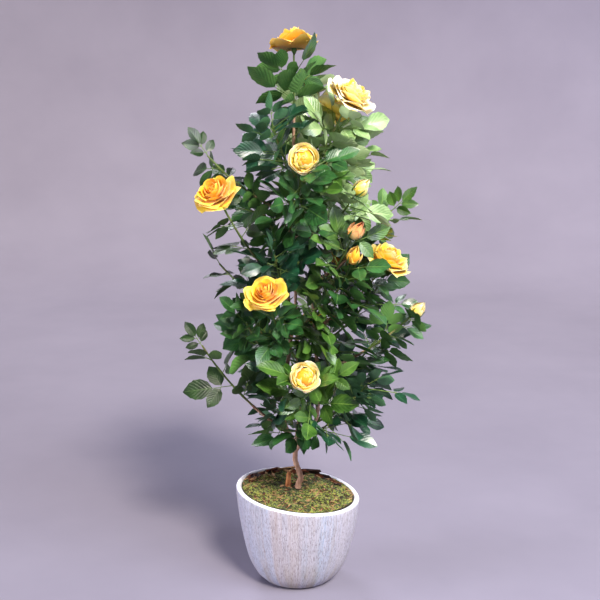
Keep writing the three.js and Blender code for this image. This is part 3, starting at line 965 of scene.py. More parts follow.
    def litter_piece(self, rim: float) -> Piece:
        """Straw on the moss, and bark chips along the back of the rim."""
        draws = Draws(self.seeds[1])
        chips = [self.chip(draws) for _ in range(5)]
        batch = Batch("bark_litter")

        def put(kind: int, p: Vector, turn: Matrix, size: tuple[float, float, float], tone: int) -> None:
            """Adds a chip of a size at a place."""
            place = Matrix.Translation(p) @ turn @ Matrix.Diagonal((*size, 1))
            batch.add(chips[kind % len(chips)], place, tone)

        for i in range(self.straws):
            p = self.spot(draws, rim - 2) + UP * 2.2
            turn = turn_and_lean(draws.between(0, FULL_TURN), draws.between(-0.4, 0.4), "Y")
            size = (draws.between(4, 11), draws.between(1.0, 2.8), 0.9)
            put(i, p, turn, size, 2 if draws.next() < 0.72 else 1)
        for i in range(self.chips):
            a = math.radians(draws.between(24, 165))
            p = Vector((math.cos(a), math.sin(a), 0)) * draws.between(rim - 17, rim - 5)
            p.z = self.height(p)
            turn = turn_and_lean(a + QUARTER_TURN + draws.between(-0.7, 0.7), draws.between(-0.35, 0.9))
            size = (draws.between(8, 19), draws.between(5, 10), draws.between(2.5, 5))
            put(i, p + UP * 1.5, turn, size, self.chip_tones[i % len(self.chip_tones)])
        for degrees, inset, long, wide, tone in self.strips:
            a = math.radians(degrees - 90)
            p = Vector((math.cos(a), math.sin(a), 0)) * (rim - inset)
            p.z = self.height(p) + 3
            put(tone, p, turn_and_lean(a + QUARTER_TURN, 0.9), (long, wide, 3.5), tone)
        return batch.build(BARK_CHIPS, 35)

    def stub_piece(self) -> Piece:
        """The short broken stub behind the trunk's foot."""
        foot = Vector((*self.stub_foot, self.ground))

        def rule(angle: float, t: float) -> Vector:
            """A place on the stub's rough skin."""
            ridges = 0.8 * math.sin(3 * angle + 2 * t) + 0.5 * math.sin(7 * angle - 3 * t)
            radius = mix(*self.stub_radii, t) * (0.45 if t > 0.99 else 1) + 0.7 * ridges
            rough = 1.6 * math.sin(2 * angle + 1) if t > 0.95 else 0
            height = self.stub_height * t - 1.5 + rough
            return foot + Vector((radius * math.cos(angle) + 2 * t, radius * math.sin(angle), height))

        stub = piece_of("sawn_stub", rolled(18, 14, rule), (STUB_WOOD,), 50)
        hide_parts("stub")
        return stub


# ---------------------------------------------------------------- routes


class Route:
    """A smooth path in millimetres, from 0 at its foot to 1 at its tip."""

    def point(self, t: float) -> Vector:
        """The place at a share of the path."""
        raise NotImplementedError

    def length(self) -> float:
        """The path's length, as 200 straight runs."""
        way = [self.point(i / 200) for i in range(201)]
        return sum((b - a).length for a, b in zip(way, way[1:]))

    def across(self) -> Vector:
        """A level direction across the path."""
        run = self.point(1) - self.point(0)
        run.z = 0
        return Vector((1, 0, 0)) if run.length < 1 else Vector((-run.y, run.x, 0)).normalized()

    def frame(self, t: float) -> tuple[Vector, Vector, Vector]:
        """The path's direction at a share of it, and the two directions across it."""
        tangent = (self.point(min(1, t + 1e-3)) - self.point(max(0, t - 1e-3))).normalized()
        across = self.across()
        side = (across - tangent * across.dot(tangent)).normalized()
        return tangent, side, side.cross(tangent)

    def samples(self, start: float = 0.0) -> list[Vector]:
        """Places about 6 mm apart."""
        count = math.ceil(self.length() / 6)
        return [self.point(mix(start, 1, i / count)) for i in range(count + 1)]


class StemRoute(Route):
    """A curve that passes through each of its points."""

    def __init__(self, points: Sequence[Sequence[float]]) -> None:
        """Takes the points in order."""
        self.points = [Vector(p) for p in points]

    def point(self, t: float) -> Vector:
        """The place at a share of the path, on the centripetal curve through the points."""
        last = len(self.points) - 1
        place = last * clamp01(t)
        i = math.floor(place)
        w = place - i
        if i >= last:
            i, w = last - 1, 1.0
        p1, p2 = self.points[i], self.points[i + 1]
        p0 = self.points[i - 1] if i > 0 else 2 * p1 - p2
        p3 = self.points[i + 2] if i + 2 <= last else 2 * p2 - p1
        d0, d1, d2 = ((b - a).length ** 0.5 for a, b in ((p0, p1), (p1, p2), (p2, p3)))
        t1 = ((p1 - p0) / d0 - (p2 - p0) / (d0 + d1) + (p2 - p1) / d1) * d1
        t2 = ((p2 - p1) / d1 - (p3 - p1) / (d1 + d2) + (p3 - p2) / d2) * d1
        return p1 + t1 * w + (3 * (p2 - p1) - 2 * t1 - t2) * w * w + (2 * (p1 - p2) + t1 + t2) * w**3


class SprayRoute(Route):
    """A curve that leaves its foot towards a bend and ends at its tip."""

    def __init__(self, foot: Vector, tip: Vector) -> None:
        """Sets the bend between the foot and the tip."""
        bend = Vector((mix(foot.x, tip.x, 0.6), mix(foot.y, tip.y, 0.6), mix(foot.z, tip.z, 0.38)))
        self.foot, self.bend, self.tip = foot, bend, tip

    def point(self, t: float) -> Vector:
        """The place at a share of the path."""
        return self.foot * (1 - t) ** 2 + self.bend * (2 * t * (1 - t)) + self.tip * t * t


# ---------------------------------------------------------------- wooden stems


@dataclass
class Limb:
    """A wooden stem or bough with ridged bark, in place of its plain solid."""

    node: str
    route: Route
    foot_radius: float
    tip_radius: float
    start: float = 0.0
    end: float = 1.0
    flare: float = 0.0  # radius that the foot flares to
    flare_height: float = 26
    floor: float = 0.0  # nothing stands below this height
    sides: int = 12
    spacing: float = 5  # of the rings
    knots: tuple[float, float, float] = (61, 30, 14)  # distance apart, of the first, and spread

    def radius(self, t: float, run: float) -> float:
        """The radius at a share of the limb, run millimetres from its foot."""
        flare = clamp01(1 - run / self.flare_height) if self.flare else 0
        swell = max(0, self.flare - self.foot_radius) * flare * flare
        return mix(self.foot_radius, self.tip_radius, t) + swell

    def build(self) -> Piece:
        """The limb's piece.

        Returns:
            The object.
        """
        length = self.route.length()
        rings = max(6, round(length * (self.end - self.start) / self.spacing))
        shares = [mix(self.start, self.end, i / rings) for i in range(rings + 1)]
        frames = [self.route.frame(share) for share in shares]
        spots = [self.route.point(share) for share in shares]
        apart, first, spread = self.knots

        def rule(angle: float, t: float) -> Vector:
            """A place on the bark."""
            i = round(t * rings)
            _, side, front = frames[i]
            way = side * math.cos(angle) + front * math.sin(angle)
            run = t * length * (self.end - self.start)
            radius = self.radius(t, run)
            if self.flare:
                buttress = clamp01(1 - run / (2.2 * self.flare_height))
                roots = 0.16 * buttress * math.sin(3 * angle + 0.8)
                radius *= 1 + roots + 0.07 * buttress * math.sin(5 * angle)
            skin = Vector((way.x * 4, way.y * 4, run * 0.16))
            swells = Vector((way.x * 3, way.y * 3, run))
            ridges = lumps(skin, 1.5, 6) * 0.085 + lumps(swells, 14, 9) * 0.1
            knot = 0.16 * math.exp(-(((run % apart) - first) ** 2) / spread)
            return spots[i] + way * radius * (1 + ridges + knot)

        bm = rolled(self.sides, rings, rule)
        if self.floor:
            whole = bm.verts[:] + bm.edges[:] + bm.faces[:]
            cut = bmesh.ops.bisect_plane(
                bm, geom=whole, plane_co=(0, 0, self.floor), plane_no=(0, 0, 1), clear_inner=True
            )
            sawn = [e for e in cut["geom_cut"] if isinstance(e, bmesh.types.BMEdge)]
            bmesh.ops.holes_fill(bm, edges=sawn, sides=0)
            bmesh.ops.recalc_face_normals(bm, faces=bm.faces[:])
        piece = piece_of(f"bark_{self.node}", bm, (BARK,), 65)
        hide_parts(self.node)
        return piece


@dataclass
class Stems:
    """The trunk and the two stems that leave it at the fork."""

    ground: float = 187.3
    fork: float = 282
    routes: dict[str, StemRoute] = field(default_factory=dict)

    def __post_init__(self) -> None:
        """Lays the three routes."""
        g = self.ground
        trunk = [
            (1, 6, g - 6), (1.5, 6, g + 10), (6, 6, g + 22), (1, 5, g + 40), (-5, 3, 248),
            (-6, 1, self.fork), (-26, -4, 326), (-30, -4, 372), (-20, -2, 450), (-13, 0, 519),
            (-20, 0, 609), (-14, 2, 720), (-9, 2, 830), (-7, 0, 935),
        ]
        right = [
            (-4, 2, 270), (16, -1, 298), (35, -4, 330), (40, -2, 400), (33, 4, 520), (27, 8, 640),
            (24, 8, 760),
        ]
        back = [(-5, 4, 264), (-1, 20, 296), (3, 36, 330), (2, 42, 420), (-4, 36, 560), (-2, 30, 700)]
        named = {"trunk": trunk, "stem_right": right, "stem_back": back}
        self.routes = {name: StemRoute(points) for name, points in named.items()}

    def build(self) -> list[Piece]:
        """The three wooden stems."""
        return [
            Limb("trunk", self.routes["trunk"], 6.0, 2.8, flare=9.5, floor=self.ground, spacing=4).build(),
            Limb("stem_right", self.routes["stem_right"], 5, 2.8).build(),
            Limb("stem_back", self.routes["stem_back"], 4.8, 2.6).build(),
        ]

    def at(self, name: str, height: float) -> Vector:
        """Where on a stem a height lies."""
        low, high = 0.0, 1.0
        for _ in range(30):
            middle = (low + high) / 2
            if self.routes[name].point(middle).z < height:
                low = middle
            else:
                high = middle
        return self.routes[name].point(low)

    def nearest(self, foot: float, tip: Vector) -> tuple[str, Vector]:
        """The stem that a spray grows from, and the place on it.

        Args:
            foot: the height of the spray's foot.
            tip: the spray's tip.

        Returns:
            The stem that stands furthest towards the tip, where it reaches that height, and the foot's place.
        """
        found = []
        for name, route in self.routes.items():
            if self.fork <= foot <= route.point(1).z:
                point = self.at(name, foot)
                found.append((math.hypot(point.x - tip.x, point.y - tip.y), name, point))
        if not found:
            return "trunk", self.at("trunk", foot)
        _, name, point = min(found, key=lambda item: item[0])
        return name, point


# ---------------------------------------------------------------- the sprays' plan


class Tip(Enum):
    """What a spray bears at its tip, as the radius of its bloom."""

    LEAVES = 0.0
    FULL = 42.0
    CABBAGE = 25.0
    BUD = 12.5


class Silk(Enum):
    """The dyes of the roses."""

    GOLD = "gold"
    CREAM = "cream"
    AMBER = "amber"
    LEMON = "lemon"


@dataclass(frozen=True)
class Spray:
    """One spray's plan: its foot on a stem, its tip, and what the tip bears."""

    name: str
    foot: float
    azimuth: float
    reach: float
    height: float
    tip: Tip = Tip.LEAVES
    faces: tuple[float, float] | None = None
    silk: Silk = Silk.GOLD
    bough: float = 0.0  # share of the curve that is a bare bough
    opened: float = 1.0  # how wide its bloom is against others of its kind

    @property
    def facing(self) -> Vector:
        """The direction that its bloom looks to."""
        azimuth, rise = self.faces or (self.azimuth, 40)
        return around(azimuth, math.cos(math.radians(rise)), math.sin(math.radians(rise)))


FRONT_SPRAYS = (
    Spray("spray_top", 936, 262, 7, 1060, Tip.FULL, (200, 74), Silk.GOLD),
    Spray("spray_upper_right", 800, 73, 98, 966, Tip.FULL, (66, 56), Silk.CREAM),
    Spray("spray_heart", 718, 6, 98, 864, Tip.CABBAGE, (4, 18), Silk.CREAM),
    Spray("spray_left_rose", 600, 291, 158, 790, Tip.FULL, (322, 50), Silk.GOLD, 0.42, 0.95),
    Spray("spray_middle_rose", 482, 338, 146, 616, Tip.FULL, (336, 54), Silk.GOLD, opened=0.86),
    Spray("spray_low_rose", 365, 4, 140, 462, Tip.CABBAGE, (12, 30), Silk.CREAM),
    Spray("spray_right_rose", 520, 81, 168, 655, Tip.FULL, (66, 62), Silk.LEMON, 0.36),
    Spray("spray_bud_upper", 690, 66, 118, 796, Tip.BUD, (80, 45), Silk.CREAM),
    Spray("spray_bud_middle", 590, 47, 138, 722, Tip.BUD, (50, 50), Silk.AMBER),
    Spray("spray_bud_inner", 545, 42, 150, 678, Tip.BUD, (30, 62), Silk.GOLD),
    Spray("spray_bud_far", 430, 87, 222, 552, Tip.BUD, (70, 48), Silk.CREAM, 0.45),
    Spray("spray_left_top", 745, 274, 170, 862, bough=0.4),
    Spray("spray_left_middle", 545, 263, 154, 648, bough=0.42),
    Spray("spray_left_inner", 430, 304, 118, 552),
    Spray("spray_left_low", 306, 270, 188, 488, bough=0.38),
    Spray("spray_right_top", 728, 94, 100, 858),
    Spray("spray_right_middle", 610, 92, 180, 755, bough=0.4),
    Spray("spray_right_inner", 480, 96, 160, 606),
    Spray("spray_right_lower", 392, 86, 158, 500),
    Spray("spray_right_low", 330, 70, 146, 426),
    Spray("spray_right_foot", 310, 48, 80, 344),
    Spray("spray_front_foot", 300, 2, 56, 352),
    Spray("spray_left_foot", 304, 318, 58, 344),
)


@dataclass(frozen=True)
class Climb:
    """Sprays that climb round the stems by a fixed turn."""

    name: str
    count: int
    azimuths: tuple[float, float]
    feet: tuple[float, float]
    rise: float
    reach_share: float
    tips: tuple[Tip, ...]
    crown: tuple[float, float] = (250, 1080)  # the heights between which the reach swells
    reaches: tuple[float, float] = (30, 150)  # at those heights and midway

    def sprays(self) -> list[Spray]:
        """The sprays from the lowest to the highest."""
        made = []
        for i in range(self.count):
            turn = (i * GOLDEN_ANGLE / 360) % 1
            foot = mix(*self.feet, i / (self.count - 1))
            height = foot + self.rise
            share = clamp01((height - self.crown[0]) / (self.crown[1] - self.crown[0]))
            reach = self.reach_share * mix(*self.reaches, math.sin(math.pi * share**0.85) ** 0.7)
            tip = self.tips[i % len(self.tips)]
            silk = (Silk.CREAM, Silk.GOLD)[i % 2]
            name = f"{self.name}_{i + 1}"
            made.append(Spray(name, foot, mix(*self.azimuths, turn), reach, height, tip, silk=silk))
        return made


BACK_TIPS = (Tip.LEAVES, Tip.CABBAGE, Tip.LEAVES, Tip.FULL, Tip.BUD)
BACK = Climb("spray_back", 10, (125, 235), (318, 880), 112, 0.92, BACK_TIPS)
CORE = Climb("spray_core", 12, (-95, 128), (304, 828), 96, 0.6, (Tip.LEAVES,))


TURNS_ASIDE = (0, 9, -9, 18, -18, 27, -27, 40, -40)  # degrees, in the order in which they are tried
NEAR = 7  # the least distance between two limbs
TOP_START = 0.012  # the top spray leaves the trunk's own tip, clear of its end


@dataclass
class Grown:
    """A spray with the route that it took."""

    plan: Spray
    index: int
    route: SprayRoute
    start: float = 0.0


def plan_routes(sprays: Sequence[Spray], stems: Stems) -> list[Grown]:
    """Lays every spray's route: where it would come too near another limb, it turns aside.

    Args:
        sprays: the plans, in the source's order.
        stems: the wooden stems.

    Returns:
        The sprays with their routes.
    """
    limbs = [(name, route.samples()) for name, route in stems.routes.items()]
    grown = []
    for index, plan in enumerate(sprays):
        for shift in TURNS_ASIDE:
            tip = around(plan.azimuth + shift, plan.reach, plan.height)
            stem, foot = stems.nearest(plan.foot, tip)
            route = SprayRoute(foot, tip)
            near = [p for name, way in limbs if name != stem for p in way]
            tree = kdtree.KDTree(len(near))
            for i, p in enumerate(near):
                tree.insert(p, i)
            tree.balance()
            if all(tree.find(p)[2] > NEAR for p in route.samples(0.05)):
                break
        limbs.append((plan.name, route.samples(0.05)))
        start = TOP_START if plan.name == "spray_top" else 0.0
        if plan.bough:
            start = plan.bough + CLEARANCE / route.length() + 0.001
        grown.append(Grown(plan, index, route, start))
    return grown


# ---------------------------------------------------------------- room


class Room:
    """The space that the pieces so far take up, as coarse shapes in millimetres."""

    def __init__(self) -> None:
        """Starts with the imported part's pot, moss, stub, stems and boughs."""
        self.taken: list[Kept] = []
        for name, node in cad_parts.items():
            if not name.startswith("spray"):
                points = [v.co / MM for v in node.data.vertices]
                self.keep(points, [tuple(p.vertices) for p in node.data.polygons], name)

    def shape(self, points: Sequence[Vector], faces: Faces, owner: str) -> Kept:
        """A coarse shape with its box."""
        low = Vector([min(p[k] for p in points) for k in range(3)])
        high = Vector([max(p[k] for p in points) for k in range(3)])
        return low, high, BVHTree.FromPolygons(points, faces), owner

    def keep(self, points: Sequence[Vector], faces: Faces, owner: str) -> None:
        """Takes up the space of a shape."""
        self.taken.append(self.shape(points, faces, owner))

    def keep_mesh(self, bm: BMesh, owner: str) -> None:
        """Takes up the space of a mesh, and frees the mesh."""
        self.keep([v.co.copy() for v in bm.verts], [tuple(v.index for v in f.verts) for f in bm.faces], owner)
        bm.free()

    def claim(self, points: Sequence[Vector], faces: Faces, owner: str, skip: str = "") -> bool:
        """Takes up the space of a shape if it is free.

        Args:
            points: the shape's corners.
            faces: its faces.
            owner: whose it is.
            skip: the owner whose pieces it may touch.

        Returns:
            True if the shape was clear of every other and is kept.
        """
        new = self.shape(points, faces, owner)
        lowest, highest, own_tree, _ = new
        for low, high, tree, other in self.taken:
            if other == skip:
                continue
            if any(low[k] > highest[k] + CLEARANCE or high[k] < lowest[k] - CLEARANCE for k in range(3)):
                continue
            if tree.overlap(own_tree):
                return False
        self.taken.append(new)
        return True


def spindles(place: Matrix, chains: Iterable[Chain]) -> Coarse:
    """Coarse three-sided spindles, which each run from a point over rings to a point.

    Args:
        place: where they go.
        chains: the start, the rings and the end of each.

    Returns:
        The corners and the faces.
    """
    points: list[Vector] = []
    faces: list[tuple[int, ...]] = []
    for start, rings, end in chains:
        base = len(points)
        points += [place @ start, *[place @ p for ring in rings for p in ring], place @ end]
        last = len(points) - 1
        for i in range(3):
            j = (i + 1) % 3
            faces.append((base, base + 1 + i, base + 1 + j))
            faces.append((last, last - 3 + i, last - 3 + j))
            for k in range(len(rings) - 1):
                a = base + 1 + 3 * k
                faces.append((a + i, a + j, a + 3 + j, a + 3 + i))
    return points, faces


# ---------------------------------------------------------------- leaves


@dataclass(frozen=True)
class LeafPlace:
    """Where a compound leaf stands on its spray, and how it is turned."""

    root: Vector
    direction: Vector
    facing: Vector
    size: float
    index: int
    seed: int
    leaflets: int = 5
    twig: float = 0.0  # length of the side twig that carries it


@dataclass
class LeafRule:
    """How compound leaves stand on a spray: the source's rule, with finer twigs between its leaves."""

    stalk: float = 40
    stalk_radius: float = 1.15
    opening: float = 56
    pair_angle: float = 60
    pair_place: float = 0.5
    length: float = 76
    tip_share: float = 0.72
    width: float = 0.72
    widest: float = 0.42
    droop: float = 0.08
    most_roll: float = 72
    bare: float = 0.16
    spacing: float = 33
    attempts: int = 6
    lowest: float = 302  # no leaf hangs below this height
    salts: tuple[int, int] = (300000, 50000)  # set the draws of the finer leaves and of each go apart

    def last(self, grown: Grown, low: float) -> float:
        """The share of a spray up to which it bears leaves: it ends below a bloom."""
        return {Tip.LEAVES: 0.97, Tip.FULL: 1 - 54 / grown.route.length()}.get(grown.plan.tip, low)

    def strays(self, leaf: LeafPlace) -> bool:
        """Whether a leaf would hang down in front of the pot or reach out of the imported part's own box."""
        end = leaf.root + leaf.direction * (self.stalk + self.length) * leaf.size
        low, high = CAD_BOX
        return end.z < self.lowest or any(not low[k] / MM < end[k] < high[k] / MM for k in range(3))

    def count(self, grown: Grown) -> int:
        """How many leaves a spray may bear."""
        length = grown.route.length() * (1 - grown.start)
        return max(3, math.floor(length * (1 - self.bare) / self.spacing + 0.5) + 1)

    def facing(self, root: Vector, direction: Vector, draws: Draws) -> Vector:
        """The side that a leaf's face looks to: up, rolled about its stalk, and never in to the bush."""
        up = (UP - direction * direction.z).normalized()
        side = direction.cross(up)
        lean = side.dot(Vector((root.x, root.y, 0)).normalized())
        roll = math.radians(self.most_roll) * (2 * draws.next() - 1)
        if abs(lean) > 0.25:
            roll = math.copysign(abs(roll), lean)
        return up * math.cos(roll) + side * math.sin(roll)

    def coarse(self, leaf: LeafPlace) -> Coarse:
        """The space of a leaf: a stalked kite, and a pair of kites where it is compound.

        Args:
            leaf: its place.

        Returns:
            The corners and the faces.
        """
        stalk, length, r = self.stalk * leaf.size, self.length * leaf.size, self.stalk_radius

        def ring(at: float, half: float, top: float, keel: float, keel_at: float) -> list[Vector]:
            """Three corners across a blade."""
            return [Vector((at, -half, top)), Vector((at, half, top)), Vector((keel_at, 0, -keel))]

        def kite(start: float, span: float) -> list[Vector]:
            """The widest place of a blade."""
            thick = 0.02 * span
            keel_at = start + (self.widest if start else 0.12) * span
            return ring(start + self.widest * span, self.width * span / 2, thick / 2, thick, keel_at)

        place = placing(leaf.root, leaf.direction, leaf.facing)
        rings = [ring(0, r, 0.6 * r, r, 0), ring(stalk, 0.8 * r, 0.5 * r, 0.8 * r, stalk)]
        rings.append(kite(stalk, length))
        if leaf.twig:
            rings.insert(0, ring(-leaf.twig, r, 0.6 * r, r, -leaf.twig))
        foot, tip = Vector((-0.8 - leaf.twig, 0, 0)), Vector((stalk + length, 0, -self.droop * length))
        points, faces = spindles(place, [(foot, rings, tip)])
        if leaf.leaflets == 1:
            return points, faces
        root = leaf.root + leaf.direction * (self.pair_place * stalk) + leaf.facing * (0.3 * r)
        for sign in (-1, 1):
            way = Matrix.Rotation(math.radians(sign * self.pair_angle), 3, leaf.facing) @ leaf.direction
            span = 0.86 * length
            tip = Vector((span, 0, -self.droop * span))
            more, sides = spindles(placing(root, way, leaf.facing), [(Vector(), [kite(0, span)], tip)])
            faces += [tuple(len(points) + k for k in side) for side in sides]
            points += more
        return points, faces

    def leaf(self, grown: Grown, i: int, along: float, last: bool, attempt: int, salt: int = 0) -> LeafPlace:
        """A leaf's place at one attempt.

        Args:
            grown: the spray.
            i: the leaf's number on it.
            along: its share of the leafy part.
            last: whether it ends the spray.
            attempt: which try this is.
            salt: sets finer leaves apart from the source's.

        Returns:
            The place.
        """
        seed = SEED * 7919 + grown.index * 1009 + i * 31 + attempt + salt
        draws = Draws(seed)
        t = mix(grown.start, 1, along)
        root = grown.route.point(t)
        tangent, side, front = grown.route.frame(t)
        aside = 68 if salt else 0
        turn = (i + 0.37 * attempt) * GOLDEN_ANGLE + grown.index * 47 + 30 * draws.next() + aside
        angle = math.radians(turn)
        radial = side * math.cos(angle) + front * math.sin(angle)
        opening = math.radians(12 + 6 * attempt if last else self.opening + 24 * (draws.next() - 0.5))
        direction = tangent * math.cos(opening) + radial * math.sin(opening)
        facing = self.facing(root, direction, draws)
        size = mix(1, self.tip_share, along) * draws.between(0.9, 1.1) * (1 if attempt < 3 else 0.78)
        size *= 0.87 if grown.plan.bough else 1
        return LeafPlace(root, direction, facing, size, grown.index, seed)

    def fits(self, leaf: LeafPlace, grown: Grown, room: Room) -> bool:
        """Whether a leaf stays in bounds and clear of the others; if so, it takes up its space."""
        return not self.strays(leaf) and room.claim(*self.coarse(leaf), "leaf", grown.plan.name)

    def grow(self, grown: Grown, room: Room) -> list[LeafPlace]:
        """The source's leaves of one spray: each takes the first place that is free."""
        count, kept = self.count(grown), []
        for i in range(count):
            along = mix(self.bare, self.last(grown, 0.9), i / (count - 1))
            last = i == count - 1 and grown.plan.tip is Tip.LEAVES
            for attempt in range(self.attempts):
                leaf = self.leaf(grown, i, along, last, attempt)
                if self.fits(leaf, grown, room):
                    few = Draws(leaf.seed + 9).next() < 0.55
                    kept.append(replace(leaf, leaflets=3 if few else 5))
                    break
        return kept

    def fill(
        self, grown: Grown, room: Room, go: int, shrink: float, twig: float, leaflets: int
    ) -> list[LeafPlace]:
        """Finer leaves between the source's, where there is room for their kites.

        Args:
            grown: the spray.
            room: the space that is taken.
            go: which go over the sprays this is; each starts its leaves at other places along them.
            shrink: their size against the source's.
            twig: the length of the side twigs that carry them.
            leaflets: how many leaflets each has.

        Returns:
            Their places.
        """
        count, kept = self.count(grown), []
        for i in range(count - 1):
            share = (i + 0.1 + 0.8 * ((0.5 + 0.618 * go) % 1)) / (count - 1)
            along = mix(0.5 * self.bare, self.last(grown, 0.86), share)
            for attempt in range(self.attempts + 3):
                leaf = self.leaf(grown, i, along, False, attempt, self.salts[0] + self.salts[1] * go)
                root = leaf.root + leaf.direction * twig
                leaf = replace(leaf, root=root, twig=twig, size=leaf.size * shrink, leaflets=leaflets)
                if self.fits(leaf, grown, room):
                    kept.append(leaf)
                    break
        return kept


@dataclass
class Leaflet:
    """One toothed leaflet, folded along its midrib and quilted by its side veins. Its length is 1."""

    half: float = 0.29
    fold: float = 0.22
    droop: float = 0.1
    twist: float = 0.05
    quilt: float = 0.02
    wave: float = 0.02
    rows: int = 10

    def place(self, u: float, s: float) -> Vector:
        """A place on the leaflet's top, from the share across (-1 to 1) and along."""
        raised = round(s * self.rows) % 2
        wide = self.half * s**0.62 * (1 - s) ** 1.02 / 0.339
        edge = abs(u) ** 3
        body = math.sin(math.pi * s)
        x = s + body * (1 - s) ** 0.4 * (0.12 * abs(u) + 0.02 * edge * raised)
        y = u * wide * (1 + (0.035 if raised else -0.035) * edge)
        z = self.fold * abs(y) * (1 - 0.4 * s) - self.droop * s * s - 0.012 * body * (1 - min(1, abs(u) * 8))
        z += self.quilt * raised * body * math.sin(math.pi * abs(u)) ** 0.7
        z += self.twist * u * s * wide * 4 + self.wave * edge * math.sin(9 * s + (2 if u > 0 else 0)) * body
        return Vector((x, y, z))

    def template(self) -> Template:
        """The leaflet's mesh."""
        blade = Blade((-1, -0.55, -0.04, 0.04, 0.55, 1), self.rows, self.place, (-1, 0, 1), 0.012, 0.04)
        return Template(blade.build())


DEALT: dict[LeafTint, tuple[str, ...]] = {
    LeafTint.DEEP: ("right_lower", "right_low", "right_foot"),
    # painted shade: the left arms, away from the key light, take the darker, duller green
    LeafTint.DUSK: ("left_top", "left_rose", "left_middle", "left_low"),
    LeafTint.DARK: (
        "top", "left_inner", "left_foot", "front_foot", "middle_rose", "heart", "bud_inner", "right_rose",
        "bud_far", "right_inner",
    ),
    LeafTint.OLIVE: ("low_rose", "right_middle", "bud_middle"),
    # the upper right takes the pale green partly as a paler leaf colour and partly as painted light, where
    # the key light and sheen fall
    LeafTint.PALE: ("upper_right", "right_top", "bud_upper", "core_11", "back_9"),
}


class Stalks(Batch):
    """The thin stalks of the leaves: stretched copies of one of length 1 and radius 1."""

    def __init__(self) -> None:
        """Starts the piece, with the stalk that is copied."""
        super().__init__("leaf_stalks")
        self.one = Template(rolled(5, 3, self.skin))

    @staticmethod
    def skin(angle: float, t: float) -> Vector:
        """A place on the stalk's skin, which narrows towards its end."""
        return Vector((t, math.cos(angle) * (1 - 0.35 * t), math.sin(angle) * (1 - 0.35 * t)))

    def run(self, root: Vector, way: Vector, face: Vector, length: float, radius: float) -> None:
        """Adds one stalk."""
        size = Matrix.Diagonal((length, radius, radius, 1))
        self.add(self.one, placing(root, way, face) @ size)


